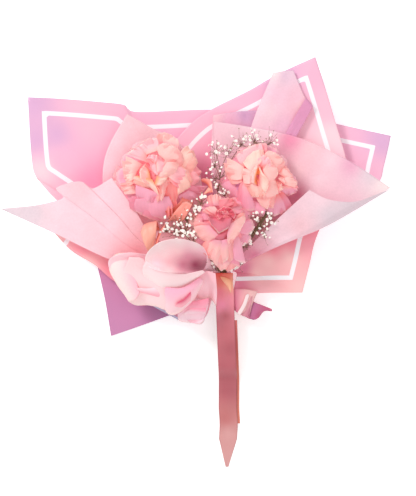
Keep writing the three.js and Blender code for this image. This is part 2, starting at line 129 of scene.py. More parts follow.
# ------------------------------------------------------------------ curves and patches
SPAN_POINTS = 25
RIM_POINTS = 80
EDGE_POINTS = 60


def curve(points: Line | np.ndarray, count: int) -> np.ndarray:
    """Draws a smooth line through points, evenly spaced along its length.

    Args:
        points: the points it passes through.
        count: how many points to return.

    Returns:
        An array of count points.
    """
    p = np.asarray(points, float)
    if len(p) == 2:
        t = np.linspace(0, 1, count)[:, None]
        return p[0] * (1 - t) + p[1] * t
    p = np.vstack([2 * p[0] - p[1], p, 2 * p[-1] - p[-2]])
    fine = []
    t = np.linspace(0, 1, SPAN_POINTS)[:, None]
    for a, b, c, d in zip(p, p[1:], p[2:], p[3:]):
        m0, m1 = (c - a) / 2, (d - b) / 2
        t2, t3 = t * t, t**3
        fine.append((2 * t3 - 3 * t2 + 1) * b + (t3 - 2 * t2 + t) * m0
                    + (-2 * t3 + 3 * t2) * c + (t3 - t2) * m1)
    q = np.vstack([fine[0][:1]] + [f[1:] for f in fine])
    return respaced(q, count)


def respaced(points: np.ndarray, count: int) -> np.ndarray:
    """Spaces a polyline's points evenly.

    Args:
        points: the polyline.
        count: how many points to return.

    Returns:
        An array of count points along the same polyline.
    """
    steps = np.r_[0, np.cumsum(np.linalg.norm(np.diff(points, axis=0), axis=1))]
    want = np.linspace(0, steps[-1], count)
    return np.stack([np.interp(want, steps, points[:, k]) for k in range(3)], axis=1)


def cornered(points: Line, count: int, share: float) -> np.ndarray:
    """Draws a line between a smooth curve and straight runs through the same points.

    Args:
        points: the places it passes through.
        count: how many points to return.
        share: how straight the runs are, from 0 to 1.

    Returns:
        An array of count points.
    """
    smooth = respaced(curve(points, RIM_POINTS), count)
    straight = respaced(np.array(points, float), count)
    return (1 - share) * smooth + share * straight


def broken(parts: tuple[Line, ...], count: int) -> np.ndarray:
    """Draws lines end to end with the corners between them kept.

    Args:
        parts: the lines in order.
        count: how many points to return.

    Returns:
        An array of count points.
    """
    lines = [curve(p, EDGE_POINTS) for p in parts]
    lengths = [float(np.linalg.norm(np.diff(x, axis=0), axis=1).sum()) for x in lines]
    left, out = count - 1, [lines[0][:1]]
    for i, (x, length) in enumerate(zip(lines, lengths)):
        n = left if i == len(lines) - 1 else max(1, round((count - 1) * length / sum(lengths)))
        left -= n
        out.append(respaced(x, n + 1)[1:])
    return np.vstack(out)


def patch(near: np.ndarray, far: np.ndarray, left: np.ndarray, right: np.ndarray) -> np.ndarray:
    """Fills the surface between four edges.

    Args:
        near: the edge at v = 0, from left to right.
        far: the edge at v = 1, from left to right.
        left: the edge at u = 0, from near to far.
        right: the edge at u = 1, from near to far.

    Returns:
        A grid of points, rows from near to far.
    """
    u = np.linspace(0, 1, len(near))[None, :, None]
    v = np.linspace(0, 1, len(left))[:, None, None]
    ruled = near[None] * (1 - v) + far[None] * v
    across = left[:, None] * (1 - u) + right[:, None] * u
    corners = (near[0] * (1 - u) * (1 - v) + near[-1] * u * (1 - v)
               + far[0] * (1 - u) * v + far[-1] * u * v)
    return ruled + across - corners


def normals(grid: np.ndarray) -> np.ndarray:
    """Finds a grid surface's unit normals.

    Args:
        grid: rows of points.

    Returns:
        One normal for each point.
    """
    du, dv = np.gradient(grid, axis=1), np.gradient(grid, axis=0)
    n = np.cross(du, dv)
    return n / np.maximum(np.linalg.norm(n, axis=2, keepdims=True), TINY)


def smoothstep(x: np.ndarray, low: float, high: float) -> np.ndarray:
    """Rises smoothly from 0 at low to 1 at high.

    Args:
        x: the values.
        low: where it starts.
        high: where it ends.

    Returns:
        The blended values.
    """
    t = np.clip((x - low) / (high - low), 0, 1)
    return t * t * (3 - 2 * t)


# ------------------------------------------------------------------ shader helpers
class Nodes:
    """Adds nodes and links to a node tree in few words."""

    def __init__(self, tree: bpy.types.NodeTree) -> None:
        """Starts from an empty tree.

        Args:
            tree: the tree to fill.
        """
        self.tree = tree
        tree.nodes.clear()

    def add(self, kind: str, inputs: dict | None = None, **values: object) -> bpy.types.Node:
        """Adds one node.

        Args:
            kind: the node's type name.
            inputs: socket name or index to a value or an output socket.
            values: the node's own properties.

        Returns:
            The new node.
        """
        node = self.tree.nodes.new(kind)
        for name, value in values.items():
            setattr(node, name, value)
        for name, value in (inputs or {}).items():
            if isinstance(value, bpy.types.NodeSocket):
                self.tree.links.new(value, node.inputs[name])
            else:
                node.inputs[name].default_value = value
        return node

    def math(self, operation: str, a: object, b: object = 0.5, clamp: bool = False) -> bpy.types.NodeSocket:
        """Adds a maths node.

        Args:
            operation: its operation.
            a: the first value or socket.
            b: the second value or socket.
            clamp: whether to keep the result from 0 to 1.

        Returns:
            Its output socket.
        """
        return self.add("ShaderNodeMath", {0: a, 1: b}, operation=operation, use_clamp=clamp).outputs[0]

    def mix(self, factor: object, a: object, b: object, blend: str = "MIX") -> bpy.types.NodeSocket:
        """Adds a colour mix.

        Args:
            factor: how much of b shows.
            a: the first colour or socket.
            b: the second colour or socket.
            blend: the blend type.

        Returns:
            The mixed colour's socket.
        """
        node = self.add("ShaderNodeMix", {0: factor, 6: a, 7: b}, data_type="RGBA", blend_type=blend)
        return node.outputs[2]

    def scaled(self, value: object, gain: float, base: float) -> bpy.types.NodeSocket:
        """Multiplies a value and adds to it.

        Args:
            value: the value or socket.
            gain: what it is multiplied by.
            base: what is added.

        Returns:
            The result's socket.
        """
        return self.math("ADD", self.math("MULTIPLY", value, gain), base)

    def noise(self, scale: float, detail: float, roughness: float = 0.5) -> bpy.types.NodeSocket:
        """Adds a noise that stays fixed to the piece.

        Args:
            scale: how many times it repeats in a metre.
            detail: how many finer layers it has.
            roughness: how strong those layers are.

        Returns:
            The noise's socket, from 0 to 1.
        """
        place = self.add("ShaderNodeTexCoord")
        inputs = {"Vector": place.outputs["Object"], "Scale": scale, "Detail": detail, "Roughness": roughness}
        return self.add("ShaderNodeTexNoise", inputs).outputs[0]

    def send(self, value: bpy.types.NodeSocket, node: bpy.types.Node, name: str) -> None:
        """Links a value to a node's named socket.

        Args:
            value: the socket it comes from.
            node: the node it goes to.
            name: that node's socket.
        """
        self.tree.links.new(value, node.inputs[name])


def group(name: str, inputs: dict[str, tuple[str, object]], outputs: dict[str, str]
          ) -> tuple[bpy.types.NodeTree, Nodes, bpy.types.Node, bpy.types.Node]:
    """Makes an empty node group with its sockets.

    Args:
        name: the group's name.
        inputs: socket name to its type and default value.
        outputs: socket name to its type.

    Returns:
        The tree, its helper, its input node and its output node.
    """
    tree = bpy.data.node_groups.new(name, "ShaderNodeTree")
    n = Nodes(tree)
    for label, (kind, value) in inputs.items():
        socket = tree.interface.new_socket(label, in_out="INPUT", socket_type=kind)
        socket.default_value = value
    for label, kind in outputs.items():
        tree.interface.new_socket(label, in_out="OUTPUT", socket_type=kind)
    return tree, n, n.add("NodeGroupInput"), n.add("NodeGroupOutput")


COLOR, FLOAT = "NodeSocketColor", "NodeSocketFloat"
WHITE = (1, 1, 1, 1)
FAR_FROM_EDGE = 100.0

# Each effect's noises: how many repeats in a metre, how many finer layers and how strong those are.
PAPER_CLOUD = (9.0, 3.0)
PAPER_TOOTH = (900.0, 2.0)
TISSUE_CLOUD = (38.0, 6.0, 0.62)
TISSUE_FIBRE = (420.0, 4.0)
PETAL_CLOUD = (60.0, 3.0)
SATIN_SLUB = (45.0, 2.0)
GRAIN = (160.0, 3.0)

# Turns of the petal's veins and how far they wander, turns of the satin's threads, and where its
# woven edge starts, measured from its middle.
VEINS = 70.0
VEIN_WANDER = 9.0
THREADS = 240.0
SELVEDGE = 0.455


def paper_group() -> bpy.types.NodeTree:
    """Wrapping sheet: its tint, a printed line a little inside the edge, and a fine tooth.

    Returns:
        The node group.
    """
    tree, n, gin, gout = group(
        "pearl_paper",
        {"Tint": (COLOR, WHITE), "Edge": (FLOAT, FAR_FROM_EDGE), "Line": (COLOR, WHITE),
         "Inset": (FLOAT, 18.0), "Width": (FLOAT, 6.0)},
        {"Color": COLOR, "Roughness": FLOAT, "Height": FLOAT})
    half = n.math("MULTIPLY", gin.outputs["Width"], 0.5)
    off = n.math("ABSOLUTE", n.math("SUBTRACT", gin.outputs["Edge"], gin.outputs["Inset"]))
    inside = n.math("ADD", n.math("SUBTRACT", half, off), 0.3)
    line = n.math("MULTIPLY", inside, 1.6, clamp=True)
    cloud = n.scaled(n.noise(*PAPER_CLOUD), 0.08, 0.96)
    tooth = n.noise(*PAPER_TOOTH)
    tinted_cloud = n.mix(1.0, gin.outputs["Tint"], cloud, "MULTIPLY")
    n.send(n.mix(line, tinted_cloud, gin.outputs["Line"]), gout, "Color")
    n.send(n.scaled(tooth, 0.08, 0.4), gout, "Roughness")
    n.send(tooth, gout, "Height")
    return tree


def tissue_group() -> bpy.types.NodeTree:
    """Thin tissue: its tint, the cloud of its fibres, and how much it lets through.

    Returns:
        The node group.
    """
    tree, n, gin, gout = group(
        "fibre_tissue",
        {"Tint": (COLOR, WHITE), "Cover": (FLOAT, 0.75)},
        {"Color": COLOR, "Alpha": FLOAT, "Height": FLOAT})
    cloud = n.math("MULTIPLY", n.noise(*TISSUE_CLOUD), 0.7)
    fibre = n.math("MULTIPLY", n.noise(*TISSUE_FIBRE), 0.3)
    both = n.math("ADD", cloud, fibre)
    n.send(n.mix(1.0, gin.outputs["Tint"], n.scaled(both, 0.1, 0.95), "MULTIPLY"), gout, "Color")
    thin = n.math("MULTIPLY", n.math("SUBTRACT", both, 0.5), 0.35)
    n.send(n.math("ADD", gin.outputs["Cover"], thin, clamp=True), gout, "Alpha")
    n.send(both, gout, "Height")
    return tree


def petal_group() -> bpy.types.NodeTree:
    """Petal skin: its tint, faint veins from root to rim, and a soft tooth.

    Returns:
        The node group.
    """
    tree, n, gin, gout = group(
        "petal_skin",
        {"Tint": (COLOR, WHITE), "Across": (FLOAT, 0.5)},
        {"Color": COLOR, "Roughness": FLOAT, "Height": FLOAT})
    wander = n.noise(*PETAL_CLOUD)
    straight = n.math("MULTIPLY", gin.outputs["Across"], VEINS)
    lane = n.math("ADD", straight, n.math("MULTIPLY", wander, VEIN_WANDER))
    vein = n.math("MULTIPLY", n.math("ADD", n.math("SINE", lane), 1.0), 0.5)
    both = n.math("MULTIPLY", n.scaled(vein, 0.025, 0.975), n.scaled(wander, 0.16, 0.92))
    n.send(n.mix(1.0, gin.outputs["Tint"], both, "MULTIPLY"), gout, "Color")
    n.send(n.scaled(vein, 0.08, 0.46), gout, "Roughness")
    n.send(n.math("ADD", vein, wander), gout, "Height")
    return tree


def satin_group() -> bpy.types.NodeTree:
    """Satin ribbon: its tint, fine warp threads along it, and a woven edge.

    Returns:
        The node group.
    """
    tree, n, gin, gout = group(
        "satin_weave",
        {"Tint": (COLOR, WHITE), "Across": (FLOAT, 0.5)},
        {"Color": COLOR, "Roughness": FLOAT, "Height": FLOAT})
    thread = n.math("SINE", n.math("MULTIPLY", gin.outputs["Across"], THREADS))
    slub = n.noise(*SATIN_SLUB)
    off = n.math("ABSOLUTE", n.math("SUBTRACT", gin.outputs["Across"], 0.5))
    rim = n.math("GREATER_THAN", off, SELVEDGE)
    dark = n.math("SUBTRACT", 1.0, n.math("MULTIPLY", rim, 0.1))
    dim = n.math("MULTIPLY", n.scaled(slub, 0.14, 0.93), dark)
    n.send(n.mix(1.0, gin.outputs["Tint"], dim, "MULTIPLY"), gout, "Color")
    n.send(n.scaled(slub, 0.12, 0.3), gout, "Roughness")
    n.send(n.math("ADD", n.math("MULTIPLY", thread, 0.5), rim), gout, "Height")
    return tree


class Skin(Enum):
    """Which shared effect a finish uses."""

    PAPER = "paper"
    TISSUE = "tissue"
    PETAL = "petal"
    SATIN = "satin"


GROUPS = {Skin.PAPER: paper_group(), Skin.TISSUE: tissue_group(), Skin.PETAL: petal_group(),
          Skin.SATIN: satin_group()}


# How deep the surface's tooth is and how far light runs under petals and florets, in metres; how
# rough tissue is; and how far each of red, green and blue bleeds.
BUMP_DEPTH = 0.0004
PETAL_DEPTH = 0.003
FLORET_DEPTH = 0.002
TISSUE_ROUGHNESS = 0.7
PETAL_BLEED = (1.0, 0.45, 0.35)


class Surfacing:
    """A named surface finish that makes its material once."""

    name: str

    def shader(self, n: Nodes) -> bpy.types.Node:
        """Lays out the finish's nodes.

        Args:
            n: the material's nodes.

        Returns:
            The shader node.
        """
        raise NotImplementedError

    def material(self) -> bpy.types.Material:
        """Builds the material.

        Returns:
            The material, made once for each name.
        """
        found = bpy.data.materials.get(self.name)
        if found:
            return found
        made = bpy.data.materials.new(self.name)
        made.use_nodes = True
        n = Nodes(made.node_tree)
        shader = self.shader(n)
        n.send(shader.outputs[0], n.add("ShaderNodeOutputMaterial"), "Surface")
        return made


@dataclass(frozen=True)
class Finish(Surfacing):
    """A surface finish whose colour comes from the piece's own tints."""

    name: str
    skin: Skin
    cover: float = 1.0
    sheen: float = 0.0
    subsurface: float = 0.0
    glow: float = 0.0
    bump: float = 0.1
    coat: float = 0.0
    specular: float = 0.3
    line: RGB = (250, 246, 250)
    inset: float = 18.0
    width: float = 6.0

    def effect(self, n: Nodes) -> bpy.types.Node:
        """Adds the finish's shared effect and feeds it what the piece carries.

        Args:
            n: the material's nodes.

        Returns:
            The effect's node.
        """
        effect = n.add("ShaderNodeGroup", node_tree=GROUPS[self.skin])
        for label, output in (("Tint", "Color"), ("Across", "Fac"), ("Edge", "Fac")):
            if label in effect.inputs:
                carried = n.add("ShaderNodeAttribute", attribute_name=label.lower())
                n.send(carried.outputs[output], effect, label)
        if self.skin is Skin.PAPER:
            effect.inputs["Line"].default_value = (*linear(self.line), 1)
            effect.inputs["Inset"].default_value = self.inset
            effect.inputs["Width"].default_value = self.width
        if self.skin is Skin.TISSUE:
            effect.inputs["Cover"].default_value = self.cover
        return effect

    def shader(self, n: Nodes) -> bpy.types.Node:
        """Lays out the finish's nodes.

        Args:
            n: the material's nodes.

        Returns:
            The shader node.
        """
        effect = self.effect(n)
        bump = n.add("ShaderNodeBump", {
            "Height": effect.outputs["Height"], "Strength": self.bump, "Distance": BUMP_DEPTH})
        shader = n.add("ShaderNodeBsdfPrincipled", {
            "Base Color": effect.outputs["Color"], "Normal": bump.outputs[0], "Roughness": TISSUE_ROUGHNESS,
            "Specular IOR Level": self.specular, "Sheen Weight": self.sheen, "Coat Weight": self.coat,
            "Subsurface Weight": self.subsurface, "Subsurface Scale": PETAL_DEPTH,
            "Emission Color": effect.outputs["Color"], "Emission Strength": self.glow})
        shader.inputs["Subsurface Radius"].default_value = PETAL_BLEED
        for label in ("Roughness", "Alpha"):
            if label in effect.outputs:
                n.send(effect.outputs[label], shader, label)
        return shader


# A finish's glow makes it give off a little light in its own colour: painted light that lifts the paper,
# tissue, petals and satin out of their shade.
PAPER = Finish("wrap_paper", Skin.PAPER, glow=0.08, bump=0.05, coat=0.08, width=5.2)
EDGED_PAPER = Finish("wrap_edge", Skin.PAPER, bump=0.05, coat=0.08, line=(196, 206, 232),
                     inset=1.5, width=2.4)
PLAIN_PAPER = Finish("wrap_back", Skin.PAPER, bump=0.05, coat=0.08, inset=-50.0)
TISSUE = Finish("tissue_sheet", Skin.TISSUE, cover=0.82, glow=0.06, bump=0.1, specular=0.1)
COLLAR = Finish("collar_tissue", Skin.TISSUE, cover=1.0, glow=0.1, bump=0.08, specular=0.1)
PETALS = Finish("petal_skin", Skin.PETAL, subsurface=0.06, glow=0.13, bump=0.08, specular=0.12)
SATIN = Finish("satin", Skin.SATIN, glow=0.06, bump=0.15, specular=0.5, sheen=0.1)


@dataclass(frozen=True)
class Plain(Surfacing):
    """A finish of one colour broken up by a fine grain."""

    name: str
    color: RGB
    roughness: float = 0.6
    grain: float = 0.2
    subsurface: float = 0.0
    glow: float = 0.0

    def shader(self, n: Nodes) -> bpy.types.Node:
        """Lays out the finish's nodes.

        Args:
            n: the material's nodes.

        Returns:
            The shader node.
        """
        shift = n.scaled(n.noise(*GRAIN), self.grain, 1.0 - self.grain / 2)
        color = n.mix(1.0, (*linear(self.color), 1), shift, "MULTIPLY")
        return n.add("ShaderNodeBsdfPrincipled", {
            "Base Color": color, "Roughness": self.roughness, "Subsurface Weight": self.subsurface,
            "Subsurface Scale": FLORET_DEPTH, "Emission Color": WHITE, "Emission Strength": self.glow})


# The florets' glow is painted light that lifts them out of the shade they cast on each other; the floor's
# glow keeps it evenly white.
STEM = Plain("stem_green", (128, 122, 88), 0.5)
TWIG = Plain("twig", (140, 106, 84), 0.7)
FLORET = Plain("floret", (250, 244, 236), 0.7, 0.1, 0.05, glow=0.15)
BUD = Plain("bud", (176, 146, 122), 0.8)
TWINE = Plain("twine_cord", (205, 184, 145), 0.9, 0.4)
FLOOR = Plain("floor", (250, 250, 250), 0.9, 0.0, glow=0.35)


# ------------------------------------------------------------------ meshes
def put(name: str, data: bpy.types.ID) -> bpy.types.Object:
    """Adds a mesh, light or camera to the scene.

    Args:
        name: its name.
        data: what it shows.

    Returns:
        The new object.
    """
    made = bpy.data.objects.new(name, data)
    bpy.context.scene.collection.objects.link(made)
    return made


@dataclass
class Surface:
    """A grid of points with what its finish reads at each of them."""

    points: np.ndarray
    tint: np.ndarray
    edge: np.ndarray | None = None
    across: np.ndarray | None = None


class MeshMaker:
    """Collects surfaces and plain solids into one mesh object."""

    def __init__(self, name: str) -> None:
        """Starts an empty mesh.

        Args:
            name: the piece's name.
        """
        self.name = name
        self.vertices: list[np.ndarray] = []
        self.faces: list[tuple[int, ...]] = []
        self.slots: list[int] = []
        self.tints: list[np.ndarray] = []
        self.edges: list[np.ndarray] = []
        self.across: list[np.ndarray] = []
        self.count = 0

    def solid(self, points: np.ndarray, faces: list[tuple[int, ...]], slot: int = 0,
              tint: RGB = (255, 255, 255)) -> None:
        """Adds a plain solid.

        Args:
            points: its vertices in tie millimetres.
            faces: its faces.
            slot: its material's index.
            tint: its colour.
        """
        n = len(points)
        self._add(points, np.tile(linear(tint), (n, 1)), np.full(n, FAR_FROM_EDGE), np.full(n, 0.5))
        self.faces += [tuple(i + self.count for i in f) for f in faces]
        self.slots += [slot] * len(faces)
        self.count += n

    def surface(self, s: Surface, slot: int = 0) -> None:
        """Adds a grid surface.

        Args:
            s: the surface.
            slot: its material's index.
        """
        nv, nu = s.points.shape[:2]
        edge = np.full((nv, nu), FAR_FROM_EDGE) if s.edge is None else s.edge
        across = np.tile(np.linspace(0, 1, nu), (nv, 1)) if s.across is None else s.across
        self._add(s.points.reshape(-1, 3), s.tint.reshape(-1, 3), edge.ravel(), across.ravel())
        k = self.count + np.arange(nv * nu).reshape(nv, nu)
        quads = np.stack([k[:-1, :-1], k[:-1, 1:], k[1:, 1:], k[1:, :-1]], axis=2).reshape(-1, 4)
        self.faces += [tuple(int(i) for i in q) for q in quads]
        self.slots += [slot] * len(quads)
        self.count += nv * nu

    def _add(self, points: np.ndarray, tint: np.ndarray, edge: np.ndarray, across: np.ndarray) -> None:
        """Stores a block of vertices.

        Args:
            points: the vertices.
            tint: their colours.
            edge: their distances from the paper's edge.
            across: their place across the piece.
        """
        self.vertices.append(points)
        self.tints.append(tint)
        self.edges.append(edge)
        self.across.append(across)

    def build(self, materials: list[bpy.types.Material], thickness: float = 0.0) -> bpy.types.Object:
        """Makes the object.

        Args:
            materials: one for each slot.
            thickness: how thick to make its sheets, in millimetres.

        Returns:
            The object, linked to the scene.
        """
        data = bpy.data.meshes.new(self.name)
        points = PLACE.metres(np.vstack(self.vertices))
        data.from_pydata(points.tolist(), [], self.faces)
        for m in materials:
            data.materials.append(m)
        data.polygons.foreach_set("material_index", self.slots)
        data.polygons.foreach_set("use_smooth", [True] * len(self.faces))
        tint = data.color_attributes.new("tint", "FLOAT_COLOR", "POINT")
        rgba = np.c_[np.vstack(self.tints), np.ones(self.count)]
        tint.data.foreach_set("color", rgba.ravel())
        for label, values in (("edge", self.edges), ("across", self.across)):
            data.attributes.new(label, "FLOAT", "POINT").data.foreach_set("value", np.concatenate(values))
        data.update()
        made = put(self.name, data)
        if thickness:
            solid = made.modifiers.new("thickness", "SOLIDIFY")
            solid.thickness = thickness * MM
            solid.offset = 0.0
        return made


def settle(piece: bpy.types.Object, slot: str, *nodes: str) -> bpy.types.Object:
    """Fixes a piece to the bunch and names the CAD nodes it stands for.

    Args:
        piece: the piece.
        slot: its record material slot; not used.
        nodes: the CAD nodes.

    Returns:
        The piece.
    """
    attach(piece, "root")
    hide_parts(*nodes)
    LOG.info("%s stands for %s", piece.name, ", ".join(nodes))
    return piece


# ------------------------------------------------------------------ palette
# Wrap colours. Besides the paper's own pinks they hold painted light and shade: the lilac is the pearl paper
# in painted shade where its corners curl from the light, the lavender is the plain back darkened by painted
# shade, the deep rose is painted shadow cast by the blooms and the ribbon, and the berry is the curled
# underside in painted shade.
LILAC = (220, 172, 208)
LAVENDER = (206, 137, 180)
ORCHID = (242, 184, 208)
PINK = (252, 190, 209)
ROSE = (248, 160, 191)
PEACH = (253, 196, 195)
CORAL = (251, 157, 172)
ROSE_SHADE = (225, 126, 154)
BERRY = (202, 98, 134)
BLUSH = (254, 222, 231)
SHELL = (254, 211, 219)
PEARL = (233, 214, 222)
MILK = (252, 230, 230)


@dataclass(frozen=True)
class Tint:
    """A colour that a sheet takes on near one place, with any light or shade that falls there painted in."""

    x: float
    y: float
    color: RGB


# ------------------------------------------------------------------ petals and folds
# A flap's points across and from root to rim, and the painted highlight band along its rim.
LOBE_GRID = (28, 18)
RIM_LIGHT = (255, 224, 212)
RIM_BAND = (0.86, 0.97)


@dataclass(frozen=True)
class Wave:
    """A ruffle across a flap: height, turns, shift from flap to flap, and where it starts and is full."""

    height: float
    turns: float
    shift: float
    start: float
    full: float

    def swell(self, u: np.ndarray, seed: int) -> np.ndarray:
        """Rolls round ruffles across the flap.

        Args:
            u: places across it, from 0 to 1.
            seed: the flap's number.

        Returns:
            Values from -1 to 1.
        """
        return np.sin(2 * math.pi * self.turns * u + self.shift * seed)

    def zigzag(self, u: np.ndarray, seed: int) -> np.ndarray:
        """Folds sharp pleats across the flap.

        Args:
            u: places across it, from 0 to 1.
            seed: the flap's number.

        Returns:
            Values from 0 to 0.5.
        """
        return np.abs((self.turns * u + self.shift * seed) % 1.0 - 0.5)

    def grown(self, v: np.ndarray) -> np.ndarray:
        """Lets the ruffle grow from the root to the rim.

        Args:
            v: places from root to rim, from 0 to 1.

        Returns:
            Values from 0 to 1.
        """
        return smoothstep(v, self.start, self.full)


BROAD_WAVE = Wave(1.3, 1.3, 1.7, 0.1, 0.9)
FINE_WAVE = Wave(0.8, 3.1, 1.0, 0.4, 1.0)
RIM_WAVE = Wave(0.25, 4.3, 2.0, 0.8, 1.0)
PLEAT = Wave(1.1, 2.2, 0.37, 0.15, 0.9)
TOOTH = Wave(0.3, 7.3, 0.61, 0.86, 1.0)

# How far a flap's sides cup, the other way for every third one, and how far its rim's notches and teeth
# move its points.
CUP_LEAN = 1.6
CUP_LIFT = 0.8
CUP_BACK = -0.6
CUP_GROWS = (0.1, 0.7)
RIM_WAVE_REACH = 0.06
TOOTH_REACH = 0.4

# How far its sides bow out and rise, how high its dome stands, where its lip turns down and where its
# outer tint is full; a crisp flap is flatter and takes its outer tint sooner.
SIDE_BOW = 0.1
SIDE_RISE = 0.5
DOME = 0.6
DOME_SKEW = 0.8
DOME_MIDDLE = 0.25
LIP = (0.8, 1.0)
BLEND_FULL = 0.8
CRISP_LESS = 0.25


@dataclass(frozen=True)
class Lobe:
    """A thin curved flap: the line it grows from, its rim, their heights, and its two tints.

    bulge lifts its middle and curl turns its lip down, in millimetres. ruffle and crisp are how far and how
    sharply it waves, lit is how strong the painted highlight along its rim is, and wide stretches it
    sideways.
    """

    root: tuple[XY, ...]
    rim: tuple[XY, ...]
    z: tuple[float, float]
    inner: RGB
    outer: RGB
    bulge: float = 2.5
    curl: float = 1.5
    ruffle: float = 1.2
    lit: float = 0.35
    wide: float = 1.0
    crisp: float = 0.0

    def surface(self, centre: Point, seed: int) -> Surface:
        """Shapes the flap.

        Args:
            centre: the point it is laid out from, in tie millimetres.
            seed: varies its ruffles.

        Returns:
            Its surface and tints.
        """
        nu, nv = LOBE_GRID
        x0, y0, z0 = centre
        near = curve(tuple((x0 + x, y0 + y, z0 + self.z[0]) for x, y in self.root), nu)
        far = cornered(tuple((x0 + x, y0 + y, z0 + self.z[1]) for x, y in self.rim), nu, self.crisp)
        near, far = (line.mean(axis=0) + (line - line.mean(axis=0)) * self.wide for line in (near, far))
        middle = (near.mean(axis=0) + far.mean(axis=0)) / 2
        left, right = (self.side(a, b, middle, nv) for a, b in ((near[0], far[0]), (near[-1], far[-1])))
        grid = patch(near, far, left, right)
        u = np.linspace(0, 1, nu)[None]
        v = np.linspace(0, 1, nv)[:, None]
        grid[..., 2] += self.relief(u, v, seed)
        grid += (grid - middle) * self.frill(u, v, seed)[..., None]
        return Surface(grid, self.tints(v + 0 * u))

    def side(self, a: np.ndarray, b: np.ndarray, middle: np.ndarray, count: int) -> np.ndarray:
        """Bows one side of the flap outwards and up.

        Args:
            a: the side's end at the root.
            b: its end at the rim.
            middle: the flap's middle.
            count: how many points to return.

        Returns:
            The side's points.
        """
        half = (a + b) / 2
        out = half - middle
        out[2] = 0
        half = half + out * SIDE_BOW + np.array([0, 0, self.bulge * SIDE_RISE])
        return curve((tuple(a), tuple(half), tuple(b)), count)

    def relief(self, u: np.ndarray, v: np.ndarray, seed: int) -> np.ndarray:
        """Raises the flap: its dome, its cupped sides, its turned lip and its ruffles.

        Args:
            u: places across it.
            v: places from root to rim.
            seed: the flap's number.

        Returns:
            The height to add at each point, in millimetres.
        """
        crown = self.bulge * (DOME - CRISP_LESS * self.crisp) * np.sin(math.pi * v**DOME_SKEW)
        dome = crown * (1 - DOME_MIDDLE + DOME_MIDDLE * np.sin(math.pi * u))
        turn = 1.0 if seed % 3 else CUP_BACK
        cup = turn * (CUP_LEAN * (u - 0.5) + CUP_LIFT * (2 * u - 1) ** 4) * smoothstep(v, *CUP_GROWS)
        lip = -self.curl * smoothstep(v, *LIP) ** 2
        waves = BROAD_WAVE.height * self.ruffle * BROAD_WAVE.swell(u, seed) * BROAD_WAVE.grown(v)
        waves = waves + FINE_WAVE.height * self.ruffle * FINE_WAVE.swell(u, seed) * FINE_WAVE.grown(v)
        pleat = 1 - 4 * PLEAT.zigzag(u, seed)
        waves = waves + PLEAT.height * self.crisp * self.ruffle * pleat * PLEAT.grown(v)
        return dome + cup + lip + waves

    def frill(self, u: np.ndarray, v: np.ndarray, seed: int) -> np.ndarray:
        """Notches the flap's rim.

        Args:
            u: places across it.
            v: places from root to rim.
            seed: the flap's number.

        Returns:
            How far each point moves out from the flap's middle, as a share of its distance.
        """
        notch = RIM_WAVE.height * self.ruffle * RIM_WAVE.swell(u, seed) * RIM_WAVE.grown(v)
        tooth = self.crisp * TOOTH.height * TOOTH.zigzag(u, seed) * TOOTH.grown(v)
        return notch * RIM_WAVE_REACH - tooth * TOOTH_REACH

    def tints(self, v: np.ndarray) -> np.ndarray:
        """Colours the flap from its root to its rim, whose lighter band is painted highlight.

        Args:
            v: the place from root to rim at each point.

        Returns:
            One linear colour for each point.
        """
        blend = smoothstep(v, 0.0, BLEND_FULL - CRISP_LESS * self.crisp)[..., None]
        tint = (1 - blend) * np.array(linear(self.inner)) + blend * np.array(linear(self.outer))
        # Painted highlight: the rim band is lightened towards RIM_LIGHT by lit.
        rim = smoothstep(v, *RIM_BAND)[..., None]
        return tint + (np.array(linear(RIM_LIGHT)) - tint) * self.lit * rim


# ------------------------------------------------------------------ sheets
# The gathered sheets' ring round the tie: its inner radius, the step between layers, and how far
# the sheets run past the tie on the open side and on the tucked side.
RING_IN = 8.13
RING_STEP = 1.2
MOUTH = 11.0
TUCK = 5.0
GRID = 96
PAPER_T = 0.35

# How far a tint reaches, and how fast it gives way to its neighbours.
TINT_REACH = 4.0
TINT_FALL = 2.6

# A second, finer set of folds on each sheet, and where its folds grow from the tie.
FINE_DEPTH = 0.45
FINE_FOLDS = 2.3
FINE_SHIFT = 2.1
FOLDS_GROW = (0.08, 0.6)


def ring(layer: int, arc: tuple[float, float], y: float, count: int) -> np.ndarray:
    """Lays a row of points round the tie.

    Args:
        layer: which layer of the ring, from 0.
        arc: its first and last angle in degrees.
        y: its place along the tie.
        count: how many points.

    Returns:
        The row of points.
    """
    a = np.radians(np.linspace(arc[0], arc[1], count))
    r = RING_IN + RING_STEP * layer
    return np.c_[r * np.cos(a), np.full(count, y), WAIST_Z + r * np.sin(a)]


@dataclass(frozen=True)
class Ripple:
    """Soft folds across a sheet: how many, how deep in millimetres, and where they start."""

    folds: float = 3.0
    depth: float = 0.8
    phase: float = 0.0
    along: float = 0.25


@dataclass(frozen=True)
class Gathered:
    """A sheet held in the tie that opens out to its far edge."""

    name: str
    layer: int
    arc: tuple[float, float]
    mouth: int
    left: Line
    far: tuple[Line, ...]
    right: Line
    tints: tuple[Tint, ...]
    finish: Finish
    ripple: Ripple = Ripple()
    rests_on: tuple[str, ...] = ("stem_tie",)
    grid: tuple[int, int] = (GRID, GRID)
    extra: tuple[Lobe, ...] = ()
    held: str = "gathered"

    def rows(self) -> tuple[np.ndarray, np.ndarray]:
        """Fills the sheet between its edges.

        Returns:
            The grid of points and the paper's cut edge as a line of points.
        """
        nu, nv = self.grid
        near = ring(self.layer, self.arc, self.mouth * MOUTH, nu)
        far = broken(self.far, nu)
        left = curve((tuple(near[0]), *self.left, tuple(far[0])), nv)
        right = curve((tuple(near[-1]), *self.right, tuple(far[-1])), nv)
        rows = patch(near, far, left, right)
        tuck = ring(self.layer, self.arc, -self.mouth * TUCK, nu)
        return np.concatenate([tuck[None], rows]), far


